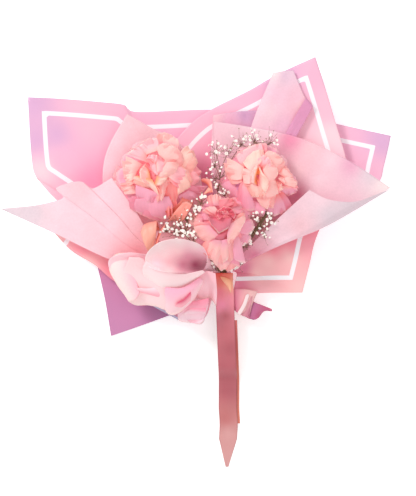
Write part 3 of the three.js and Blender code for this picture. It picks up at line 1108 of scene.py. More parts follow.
@dataclass(frozen=True)
class Tucked:
    """A corner or pleat of a sheet between four free edges."""

    name: str
    near: tuple[Line, ...]
    left: tuple[Line, ...]
    far: tuple[Line, ...]
    right: tuple[Line, ...]
    tints: tuple[Tint, ...]
    finish: Finish
    ripple: Ripple = Ripple(folds=1.0, depth=0.3)
    rests_on: tuple[str, ...] = ("outer_sheet_left",)
    grid: tuple[int, int] = (48, 64)
    extra: tuple[Lobe, ...] = ()
    held: str = "folded"

    def rows(self) -> tuple[np.ndarray, np.ndarray]:
        """Fills the sheet between its edges.

        Returns:
            The grid of points and the paper's cut edge as a line of points.
        """
        nu, nv = self.grid
        far = broken(self.far, nu)
        return patch(broken(self.near, nu), far, broken(self.left, nv), broken(self.right, nv)), far


def tinted(points: np.ndarray, tints: tuple[Tint, ...]) -> np.ndarray:
    """Blends a sheet's tints by how near each is.

    Args:
        points: the sheet's grid.
        tints: its tints.

    Returns:
        One linear colour for each point.
    """
    at = np.array([(t.x, t.y) for t in tints], float)
    color = np.array([linear(t.color) for t in tints])
    gap = np.linalg.norm(points[:, :, None, :2] - at[None, None], axis=3) + TINT_REACH
    weight = gap**-TINT_FALL
    return (weight[..., None] * color).sum(axis=2) / weight.sum(axis=2)[..., None]


def from_edge(points: np.ndarray, edge: np.ndarray) -> np.ndarray:
    """Measures how far each point of a grid is from a line.

    Args:
        points: the grid.
        edge: the line's points.

    Returns:
        The distances in millimetres.
    """
    a, b = edge[:-1], edge[1:]
    span = b - a
    length = np.maximum((span**2).sum(axis=1), TINY)
    flat = points.reshape(-1, 3)
    t = np.clip(((flat[:, None] - a) * span).sum(axis=2) / length, 0, 1)
    gap = np.linalg.norm(flat[:, None] - (a + t[..., None] * span), axis=2)
    return gap.min(axis=1).reshape(points.shape[:2])


def add_lobes(maker: MeshMaker, lobes: tuple[Lobe, ...]) -> list[np.ndarray]:
    """Adds a sheet's further folds to its mesh.

    Args:
        maker: the mesh to add to.
        lobes: the folds.

    Returns:
        Their grids of points.
    """
    grids = []
    for i, lobe in enumerate(lobes):
        made = lobe.surface((0.0, 0.0, 0.0), i)
        maker.surface(made)
        grids.append(made.points)
    return grids


class Wrapping:
    """The paper and tissue round the flowers."""

    def __init__(self, sheets: tuple[Gathered | Tucked, ...]) -> None:
        """Keeps the sheets to make.

        Args:
            sheets: their sizes and places.
        """
        self.sheets = sheets

    def build(self) -> list[bpy.types.Object]:
        """Makes every sheet.

        Returns:
            The pieces.
        """
        return [self.sheet(s) for s in self.sheets]

    def sheet(self, s: Gathered | Tucked) -> bpy.types.Object:
        """Makes one sheet with its soft folds, tints and printed line.

        Args:
            s: its shape and finish.

        Returns:
            The piece.
        """
        rows, edge = s.rows()
        nv, nu = rows.shape[:2]
        u = np.linspace(0, 1, nu)[None]
        v = np.linspace(0, 1, nv)[:, None]
        r = s.ripple
        wave = np.sin(2 * math.pi * (r.folds * u + r.along * v) + r.phase)
        fine = r.folds * FINE_FOLDS * u - r.along * 2 * v
        wave += FINE_DEPTH * np.sin(2 * math.pi * fine + FINE_SHIFT * r.phase + 1.0)
        grow = smoothstep(v, *FOLDS_GROW)
        rows = rows + normals(rows) * (wave * r.depth * grow)[..., None]
        maker = MeshMaker(f"{s.name}_{'paper' if s.finish.skin is Skin.PAPER else 'tissue'}")
        maker.surface(Surface(rows, tinted(rows, s.tints), from_edge(rows, edge)))
        extra = add_lobes(maker, s.extra)
        piece = maker.build([s.finish.material()], PAPER_T)
        slot = "wrap" if s.finish.skin is Skin.PAPER else "tissue"
        return settle(piece, slot, s.name)


# The ruffle's folds: the rose at their roots and the deep pink pocket are painted shade in their creases and
# hollow, and their lit rims are painted highlight.
FOLD_ROOT_SHADE = (246, 150, 172)
FOLD_SHADE = (226, 96, 128)
FOLD_PINK = (253, 178, 190)
RUFFLE_FOLDS = (
    Lobe(((-106, 31), (-102, 8), (-96, -14)), ((-106, 32), (-124, 32), (-133, 18), (-127, 1), (-109, -25)),
         (62, 50), (250, 190, 202), (253, 218, 216), bulge=5, curl=4, ruffle=0.5, lit=0.4),
    Lobe(((-108, 28), (-92, 26), (-80, 10), (-64, -4)), ((-116, -6), (-106, -27), (-84, -29), (-64, -35)),
         (72, 44), (252, 206, 210), (252, 216, 218), bulge=5, curl=2, ruffle=0.8, lit=0.3),
    Lobe(((-100, -8), (-82, -8), (-62, -2)), ((-90, -16), (-78, -22), (-63, -32)),
         (66, 49), SHELL, (250, 160, 176), bulge=5, curl=0, ruffle=0.5, lit=0.0),
    Lobe(((-88, 24), (-66, 12), (-44, 9), (-23, 13)), ((-90, 2), (-68, -11), (-46, -9), (-25, 7)),
         (93, 62), (254, 214, 218), MILK, bulge=6, curl=2, ruffle=0.5, lit=0.0),
    Lobe(((-31, 9), (-20, 12), (-8, 9)), ((-34, -16), (-24, -22), (-15, -20), (-7, -30)),
         (62, 42), (249, 190, 200), SHELL, bulge=3, curl=2, ruffle=1.4, lit=0.4),
    Lobe(((-36, -24), (-26, -22), (-16, -20)), ((-53, -40), (-50, -48), (-36, -50), (-24, -51), (-19, -38)),
         (58, 38), FOLD_ROOT_SHADE, (246, 208, 218), bulge=6, curl=5, ruffle=0.5, lit=0.3),
    Lobe(((-34, -30), (-27, -31), (-19, -32)), ((-47, -40), (-36, -39), (-21, -40)),
         (56, 50), FOLD_ROOT_SHADE, (246, 206, 216), bulge=3, curl=1, ruffle=0.3, lit=0.4),
    Lobe(((-66, -7), (-46, -7), (-27, 4)),
         ((-64, -24), (-67, -34), (-59, -40), (-48, -36), (-35, -26), (-23, -4)),
         (74, 56), (252, 176, 198), (250, 208, 214), bulge=8, curl=5, ruffle=0.4, lit=0.5),
    Lobe(((-51, -24), (-44, -20), (-37, -12)), ((-55, -29), (-47, -30), (-37, -22)),
         (75, 68), FOLD_SHADE, FOLD_PINK, bulge=1, curl=0, ruffle=0.2, lit=0.0),
)
# A narrow mauve strip along the pleat's fold: its colour is painted shade of the fold.
PLEAT_SHADE_FOLDS = (
    Lobe(((99, 216), (107, 206)), ((69, 162), (79, 156)),
         (33, 31), (231, 160, 196), (234, 168, 202), bulge=0.5, curl=0, ruffle=0.2, lit=0.0),
)
# The tail's folds: the first one's deep rose root is painted shadow beside the ribbon, the second is the
# white printed line, and the third one's mauve is the curled underside in painted shade.
TAIL_FOLDS = (
    Lobe(((11, -10), (13, -24), (16, -37)), ((42, -13), (36, -28), (32, -44)),
         (26, 24), ROSE_SHADE, PEACH, bulge=3, curl=2, ruffle=0.3, lit=0.0),
    Lobe(((28, -17), (24, -28), (18, -38)), ((32, -17), (28, -29), (22, -40)),
         (30.5, 30), MILK, MILK, bulge=0.3, curl=0, ruffle=0, lit=0.0),
    Lobe(((36, -26), (33, -34), (32, -44), (37, -47)), ((55, -33), (60, -36), (50, -37), (44, -44)),
         (20, 16), (190, 110, 150), BERRY, bulge=3, curl=0, ruffle=0.3, lit=0.0),
)

OUTER_SHEETS = (
    Gathered(
        "outer_sheet_left", 2, (186, 272), 1,
        left=((-30, 8, 13), (-55, 2, 11), (-86, -5, 11), (-124, -3, 15), (-151, 18, 22), (-178, 35, 28)),
        far=(
            ((-198, 56, 34), (-190, 79, 28), (-183, 95, 24), (-204, 111, 24), (-221, 124, 24),
             (-226, 149, 26), (-229, 216, 36)),
            ((-229, 216, 36), (-192, 215, 27), (-145, 212, 18), (-116, 209, 13), (-102, 201, 9),
             (-20, 204, 6), (22, 201, 6)),
        ),
        right=((3, 30, 4), (17, 108, 4)),
        tints=(Tint(-222, 209, LILAC), Tint(-168, 208, PINK), Tint(-73, 199, ORCHID),
               Tint(-220, 166, LILAC), Tint(-196, 172, LILAC), Tint(-191, 142, ORCHID),
               Tint(-156, 180, PINK), Tint(-213, 130, SHELL), Tint(-154, 119, ROSE),
               Tint(-195, 55, PEACH), Tint(-162, 40, CORAL), Tint(-160, 20, PEACH), Tint(-135, 5, CORAL)),
        finish=PAPER, ripple=Ripple(2.0, 0.5, 0.4)),
    Gathered(
        "outer_sheet_top_right", 1, (228, 310), 1,
        left=((-18, 34, 10), (-44, 72, 11)),
        far=(
            ((-74, 137, 15), (-53, 169, 16), (-32, 191, 14), (-12, 204, 13), (33, 226, 18),
             (65, 244, 23), (110, 264, 32)),
            ((110, 264, 32), (122, 228, 28), (135, 185, 26), (147, 143, 26), (154, 101, 26)),
        ),
        right=((18, 20, 9), (39, 27, 9), (93, 58, 15)),
        # The deep rose is painted shade between the blooms.
        tints=(Tint(-43, 172, PINK), Tint(-20, 125, ROSE_SHADE), Tint(-14, 105, ROSE), Tint(30, 220, ORCHID),
               Tint(68, 246, LILAC), Tint(107, 248, ORCHID), Tint(127, 201, PINK), Tint(128, 172, SHELL),
               Tint(20, 190, PINK)),
        finish=PAPER, ripple=Ripple(2.0, 0.4, 1.2)),
    Gathered(
        "outer_sheet_far_right", 3, (262, 318), 1,
        left=((4, 24, 2), (20, 54, 1), (42, 100, 1)),
        far=(
            ((75, 201, 2), (136, 187, 7), (201, 172, 16)),
            ((201, 172, 16), (193, 137, 14), (186, 116, 13), (155, 90, 11)),
        ),
        right=((16, 18, 3), (36, 27, 3), (81, 50, 5)),
        tints=(Tint(145, 172, ORCHID), Tint(190, 165, LILAC), Tint(165, 140, ORCHID), Tint(190, 125, ORCHID)),
        finish=PAPER, ripple=Ripple(1.0, 0.3, 0.2)),
    Gathered(
        "outer_sheet_lower_right", 2, (18, -38), 1,
        left=((22, 17, 18), (45, 32, 17), (80, 48, 19)),
        far=(
            ((118, 66, 22), (113, 54, 22), (109, 42, 20), (104, 18, 14), (96, -15, 8)),
            ((96, -15, 8), (57, -15, 14), (25, -16, 20), (13, -16, 25)),
        ),
        right=((17, 9, 15), (16, 1, 21), (14, -8, 25)),
        # The deep rose and dark rose beside the ribbon are painted shadow, and the rose band from (62, 36) to
        # (84, 43) is painted shade under the tissue fold.
        tints=(Tint(20, -5, ROSE_SHADE), Tint(27, 15, (222, 124, 154)), Tint(42, 8, PEACH),
               Tint(55, 22, PEACH), Tint(80, 26, PEACH), Tint(92, -11, PEACH), Tint(62, 36, (246, 146, 162)),
               Tint(84, 43, (246, 148, 164)), Tint(108, 50, CORAL)),
        finish=PAPER, ripple=Ripple(1.0, 0.3, 0.9)),
    Gathered(
        "outer_sheet_lower_left", 3, (194, 242), -1,
        left=((-22, -12, 8), (-34, -8, 6), (-60, 0, 5), (-100, 12, 5)),
        far=(
            ((-149, 19, 7), (-148, 12, 6), (-140, -24, 4), (-133, -67, 1)),
            ((-133, -67, 1), (-98, -55, 1), (-62, -42, 2), (-23, -27, 4)),
        ),
        right=((-13, -17, 6),),
        # The lavender is the paper's back, its own colour darkened by painted shade.
        tints=(Tint(-138, -5, LAVENDER), Tint(-120, -50, LAVENDER), Tint(-70, -30, (186, 118, 165))),
        finish=PLAIN_PAPER, ripple=Ripple(1.0, 0.3, 0.5)),
    Tucked(
        "outer_sheet_tail",
        near=(((12, -34, 22), (12, -26, 21), (13, -19, 21)),),
        left=(((12, -34, 22), (22, -40, 28), (29, -44, 26), (34, -46, 20), (42, -44, 14),
               (50, -37, 13), (59, -37, 18)),),
        far=(((59, -37, 18), (59, -35.5, 18), (59, -34, 18)),),
        right=(((13, -19, 21), (25, -19, 25), (36, -19, 26), (34, -21, 20), (39, -26, 14),
                (48, -30, 13), (59, -34, 18)),),
        # The deep rose beside the ribbon is painted shadow, and the berry is the curled underside in painted
        # shade.
        tints=(Tint(19, -21, ROSE_SHADE), Tint(27, -29, PEACH), Tint(36, -36, BERRY), Tint(45, -34, BERRY)),
        finish=PLAIN_PAPER, rests_on=("outer_sheet_lower_right",), extra=TAIL_FOLDS),
    Tucked(
        "outer_sheet_under_collar",
        near=(((-22, -50, 12), (-21, -32, 12), (-21, -12, 14), (-18, 9, 18)),),
        left=(((-22, -50, 12), (-49, -49, 14)),),
        far=(((-49, -49, 14), (-68, -39, 15), (-86, -28, 17), (-106, -8, 20)),),
        right=(((-18, 9, 18), (-40, 4, 17), (-62, -2, 17.5), (-106, -8, 20)),),
        tints=(Tint(-30, -40, (225, 160, 186)), Tint(-80, -25, (214, 146, 176))),
        finish=EDGED_PAPER, rests_on=("outer_sheet_lower_left",)),
)

TISSUES = (
    Gathered(
        "tissue_back_left", 0, (172, 226), 1,
        left=((-44, 30, 22), (-85, 54, 28)),
        far=(
            ((-141, 107, 36), (-140, 136, 37), (-132, 162, 38), (-112, 196, 40)),
            ((-112, 196, 40), (-83, 180, 32), (-52, 164, 26), (-26, 125, 22)),
        ),
        right=((-11, 36, 17), (-17, 72, 20)),
        tints=(Tint(-110, 190, SHELL), Tint(-126, 165, BLUSH), Tint(-134, 135, BLUSH), Tint(-84, 177, SHELL),
               Tint(-108, 150, SHELL), Tint(-66, 178, SHELL), Tint(-120, 118, (253, 190, 204)),
               Tint(-100, 120, PEACH)),
        finish=TISSUE, ripple=Ripple(2.0, 0.6, 0.3)),
    Gathered(
        "tissue_left", 1, (170, 147), 1,
        left=((-24, 10, 22), (-44, 8, 27), (-85, 15, 34), (-132, 25, 42), (-199, 57, 52)),
        far=(((-258, 84, 64), (-218, 88, 59), (-186, 97, 54), (-194, 108, 60), (-166, 116, 62),
              (-152, 108, 54), (-129, 120, 58)),),
        right=((-26, 19, 26), (-62, 34, 34), (-85, 54, 43), (-102, 83, 52)),
        tints=(Tint(-250, 82, PEARL), Tint(-225, 80, PEARL), Tint(-190, 95, BLUSH), Tint(-165, 108, SHELL),
               Tint(-140, 95, BLUSH), Tint(-132, 65, BLUSH), Tint(-180, 65, BLUSH), Tint(-109, 59, SHELL),
               Tint(-97, 48, (254, 200, 206)), Tint(-99, 36, (253, 184, 192))),
        finish=TISSUE, ripple=Ripple(2.2, 0.6, 1.0)),
    Gathered(
        "tissue_back_middle", 0, (258, 306), 1,
        left=((-6, 60, 14), (-13, 137, 17)),
        far=(((-11, 196, 21), (15, 200, 22), (47, 202, 23)),),
        right=((12, 30, 11), (24, 54, 13), (47, 107, 17), (50, 155, 20)),
        tints=(Tint(-7, 195, SHELL), Tint(-7, 166, BLUSH), Tint(9, 191, ORCHID), Tint(27, 195, LILAC),
               Tint(20, 178, ORCHID)),
        finish=TISSUE, ripple=Ripple(2.0, 0.5, 0.0)),
    Tucked(
        "tissue_pleat",
        near=(((21, 119, 24), (54, 133, 24)),),
        left=(((21, 119, 24), (35, 184, 28), (60, 245, 31)),),
        far=(
            ((60, 245, 31), (72, 247, 34), (84, 248, 33)),
            ((84, 248, 33), (98, 216, 30), (107, 205, 30)),
        ),
        right=(((54, 133, 24), (80, 160, 28), (107, 205, 30)),),
        tints=(Tint(62, 246, MILK), Tint(74, 242, (240, 208, 226)), Tint(66, 219, (253, 212, 228)),
               Tint(55, 200, BLUSH), Tint(92, 207, SHELL), Tint(98, 195, ROSE),
               Tint(74, 183, (246, 196, 218)), Tint(88, 215, (252, 204, 220))),
        finish=TISSUE, ripple=Ripple(1.3, 0.35, 0.7), rests_on=("outer_sheet_top_right",),
        extra=PLEAT_SHADE_FOLDS),
    Gathered(
        "tissue_back_right", 0, (-46, 14), 1,
        left=((3, 34, 16), (-4, 72, 20), (-10, 131, 26)),
        far=(
            ((-10, 188, 30), (28, 182, 32), (89, 169, 35), (146, 143, 38), (197, 109, 45)),
            ((197, 109, 45), (150, 81, 38), (118, 64, 34)),
        ),
        right=((24, 20, 22), (62, 39, 28)),
        # The two deep rose tints are the right bloom's painted shadow on the tissue.
        tints=(Tint(39, 183, BLUSH), Tint(56, 177, BLUSH), Tint(80, 166, ROSE), Tint(104, 154, SHELL),
               Tint(127, 142, BLUSH), Tint(151, 136, ORCHID), Tint(174, 124, PEARL), Tint(191, 114, MILK),
               Tint(91, 130, SHELL), Tint(104, 95, BLUSH), Tint(115, 118, BLUSH), Tint(89, 101, ROSE_SHADE),
               Tint(74, 95, ROSE_SHADE)),
        finish=TISSUE, ripple=Ripple(2.4, 0.6, 0.8)),
    Gathered(
        "tissue_right_fold", 3, (62, 34), 1,
        left=((21, 29, 38), (61, 69, 54)),
        far=(((101, 106, 62), (124, 95, 58), (157, 93, 54), (196, 107, 49)),),
        right=((27, 22, 33), (68, 41, 38), (117, 61, 41), (150, 79, 44)),
        tints=(Tint(115, 100, BLUSH), Tint(145, 88, PEARL), Tint(190, 106, PEARL), Tint(80, 83, BLUSH),
               Tint(90, 65, SHELL), Tint(56, 60, BLUSH), Tint(44, 42, (252, 192, 206)),
               Tint(38, 30, (236, 140, 168)),
               Tint(74, 48, BLUSH), Tint(127, 77, PEARL)),
        finish=TISSUE, ripple=Ripple(1.4, 0.45, 1.9)),
    Gathered(
        "collar_roll", 2, (142, 106), 1,
        left=(),
        far=(((-24, 10, 60), (-18, 22, 74), (-20, 36, 88), (-30, 44, 98), (-49, 49, 104),
              (-69, 46, 102), (-84, 36, 94), (-89, 25, 88), (-83, 16, 92), (-62, 11, 98),
              (-40, 10, 94), (-25, 12, 80)),),
        right=(),
        # The darker rose and mauve tints are painted shade inside the roll's mouth.
        tints=(Tint(-87, 28, MILK), Tint(-72, 40, MILK), Tint(-50, 46, MILK), Tint(-30, 42, MILK),
               Tint(-21, 34, BLUSH), Tint(-66, 30, MILK), Tint(-52, 35, (254, 222, 222)),
               Tint(-62, 22, (254, 206, 212)), Tint(-40, 28, (232, 176, 194)), Tint(-32, 19, (178, 92, 122)),
               Tint(-46, 19, (222, 150, 172)), Tint(-76, 20, BLUSH), Tint(-62, 12, MILK)),
        finish=COLLAR, ripple=Ripple(4.0, 0.2, 0.0), grid=(160, 80)),
    Gathered(
        "collar_ruffle", 3, (168, 122), -1,
        left=((-24, -2, 32), (-46, 12, 50)),
        far=(((-89, 31, 70), (-113, 33, 72), (-130, 27, 60), (-133, 16, 50), (-121, -5, 40),
              (-108, -27, 32), (-89, -28, 38), (-78, -21, 30), (-67, -27, 44), (-61, -36, 54),
              (-50, -38, 52), (-40, -31, 44), (-45, -40, 40), (-38, -49, 42), (-26, -50, 46),
              (-18, -39, 44), (-14, -24, 40)),),
        right=(),
        # The deeper pinks are painted shade in the ruffle's hollows.
        tints=(Tint(-110, 25, SHELL), Tint(-105, 0, SHELL), Tint(-78, -12, (248, 176, 190)),
               Tint(-54, -14, SHELL),
               Tint(-25, -10, SHELL), Tint(-32, -40, (238, 168, 184)), Tint(-22, -48, PEARL)),
        finish=COLLAR, ripple=Ripple(4.0, 0.8, 0.0), grid=(200, 80), extra=RUFFLE_FOLDS),
)


# ------------------------------------------------------------------ blooms
# Petal tints, partly the blooms' own colours and partly painted light and shade: CREAM_SKIN is painted
# highlight on the lit petal tops, CORAL_SKIN is the petals' coral deepened by painted shade in the crevices
# at their roots, and SHADE_SKIN is painted shade under and between the petals.
PEACH_SKIN = (255, 192, 187)
CREAM_SKIN = (255, 202, 190)
PINK_SKIN = (254, 180, 187)
CORAL_SKIN = (252, 156, 154)
MAUVE_SKIN = (240, 164, 184)
PLUM_SKIN = (220, 150, 188)
ORANGE_SKIN = (250, 160, 122)
GOLD_SKIN = (248, 156, 104)
RED_SKIN = (226, 108, 126)
ROSY_SKIN = (212, 118, 134)
DUSK_SKIN = (234, 160, 174)
FADED_SKIN = (246, 182, 180)
WINE_SKIN = (232, 138, 148)
SHADE_SKIN = (248, 152, 162)


@dataclass(frozen=True)
class Bloom:
    """A bloom: its CAD name and number of outer petals, its middle, its petals and its under-skirt."""

    name: str
    count: int
    centre: Point
    petals: tuple[Lobe, ...]
    skirt: float
    skirt_z: float


# The low petals that fill a bloom out from below: how many, half of one's angle in radians, the step
# down of every second one, its rise to the root, and its root and shoulder as shares of the skirt.
SKIRT_PETALS = 12
SKIRT_HALF = 0.36
SKIRT_STEP = 6
SKIRT_RISE = 10
SKIRT_ROOT = 0.2
SKIRT_SHOULDER = 0.82
SKIRT_SEED = 31

# The ruffled heart: its points round and outwards, its share of the skirt, and its frills and ruffles.
CORE_GRID = (73, 20)
CORE_SPREAD = 0.66
CORE_HOLE = 0.02
CORE_TOP = -4.0
CORE_FRILLS = 9
CORE_FRILL = 0.07
CORE_RUFFLES = 11
CORE_RUFFLE = 1.2

# The petals: how wide and crisp each is, how strong the painted highlight on its rim, its thickness, and the
# one beneath it, whose tint is darkened by painted shade.
PETAL_LAP = 1.07
PETAL_CRISP = 1.0
PETAL_LIT = 0.5
PETAL_T = 0.5
UNDER_TURN = 9
UNDER_DROP = 2.6
UNDER_SPREAD = 1.03
UNDER_SHADE = (0.96, 0.78, 0.8)


class BloomHead:
    """Builds a bloom's heart and petals."""

    def __init__(self, bloom: Bloom) -> None:
        """Keeps the bloom's sizes.

        Args:
            bloom: the sizes.
        """
        self.bloom = bloom

    def petals(self) -> bpy.types.Object:
        """Makes every petal as one piece, standing for the CAD heart and outer petals.

        Returns:
            The piece.
        """
        b = self.bloom
        maker = MeshMaker(f"{b.name}_petals")
        maker.surface(self.core())
        for i in range(SKIRT_PETALS):
            maker.surface(self.skirt_petal(i).surface(b.centre, i + SKIRT_SEED))
        for i, p in enumerate(b.petals):
            top = replace(p, wide=PETAL_LAP, crisp=PETAL_CRISP, lit=PETAL_LIT).surface(b.centre, i)
            maker.surface(self.under(top, i))
            maker.surface(top)
        piece = maker.build([PETALS.material()], PETAL_T)
        nodes = [f"{b.name}_heart"] + [f"{b.name}_petal_{i + 1}" for i in range(b.count)]
        return settle(piece, "petals", *nodes)

    def core(self) -> Surface:
        """Shapes the ruffled heart that closes the bloom under its petals.

        Returns:
            The heart, a frilled dome from below the middle down to the lowest petals.
        """
        b = self.bloom
        turn = np.linspace(0, 2 * math.pi, CORE_GRID[0])[None]
        out = np.linspace(CORE_HOLE, 1, CORE_GRID[1])[:, None]
        reach = b.skirt * CORE_SPREAD * out * (1 + CORE_FRILL * np.sin(CORE_FRILLS * turn) * out)
        ruffle = CORE_RUFFLE * np.sin(CORE_RUFFLES * turn) * out
        height = CORE_TOP + (b.skirt_z - CORE_TOP) * out**2 + ruffle
        points = np.stack([reach * np.cos(turn), reach * np.sin(turn), height], axis=2)
        tint = np.tile(linear(SHADE_SKIN), (*height.shape, 1))
        return Surface(points + np.array(b.centre), tint)

    def under(self, top: Surface, index: int) -> Surface:
        """Turns and lowers a copy of a petal, as the next petal beneath it, its tint darkened by painted
        shade.

        Args:
            top: the petal above.
            index: its number, which sets the way it turns.

        Returns:
            The lower petal.
        """
        centre = np.array(self.bloom.centre)
        angle = math.radians(UNDER_TURN if index % 2 else -UNDER_TURN)
        c, s = math.cos(angle), math.sin(angle)
        x, y, z = np.moveaxis(top.points - centre, 2, 0)
        turned = np.stack([c * x - s * y, s * x + c * y, z - UNDER_DROP], axis=2)
        turned[..., :2] *= UNDER_SPREAD
        return Surface(turned + centre, top.tint * np.array(UNDER_SHADE))

    def skirt_petal(self, index: int) -> Lobe:
        """Lays one of the low petals that fill the bloom out from below.

        Args:
            index: its number.

        Returns:
            The petal.
        """
        b = self.bloom
        a = 2 * math.pi * index / SKIRT_PETALS
        level = b.skirt_z - SKIRT_STEP * (index % 2)

        def at(radius: float, angle: float) -> XY:
            """Places a point round the bloom.

            Args:
                radius: how far out.
                angle: which way.

            Returns:
                The point.
            """
            return radius * math.cos(angle), radius * math.sin(angle)

        root = tuple(at(b.skirt * SKIRT_ROOT, a + SKIRT_HALF * k) for k in (-1, 1))
        outline = ((SKIRT_SHOULDER, -1), (1, -0.4), (1, 0.4), (SKIRT_SHOULDER, 1))
        rim = tuple(at(b.skirt * s, a + SKIRT_HALF * k) for s, k in outline)
        return Lobe(root, rim, (level + SKIRT_RISE, level), SHADE_SKIN, MAUVE_SKIN,
                    bulge=3, curl=3, ruffle=1.0)


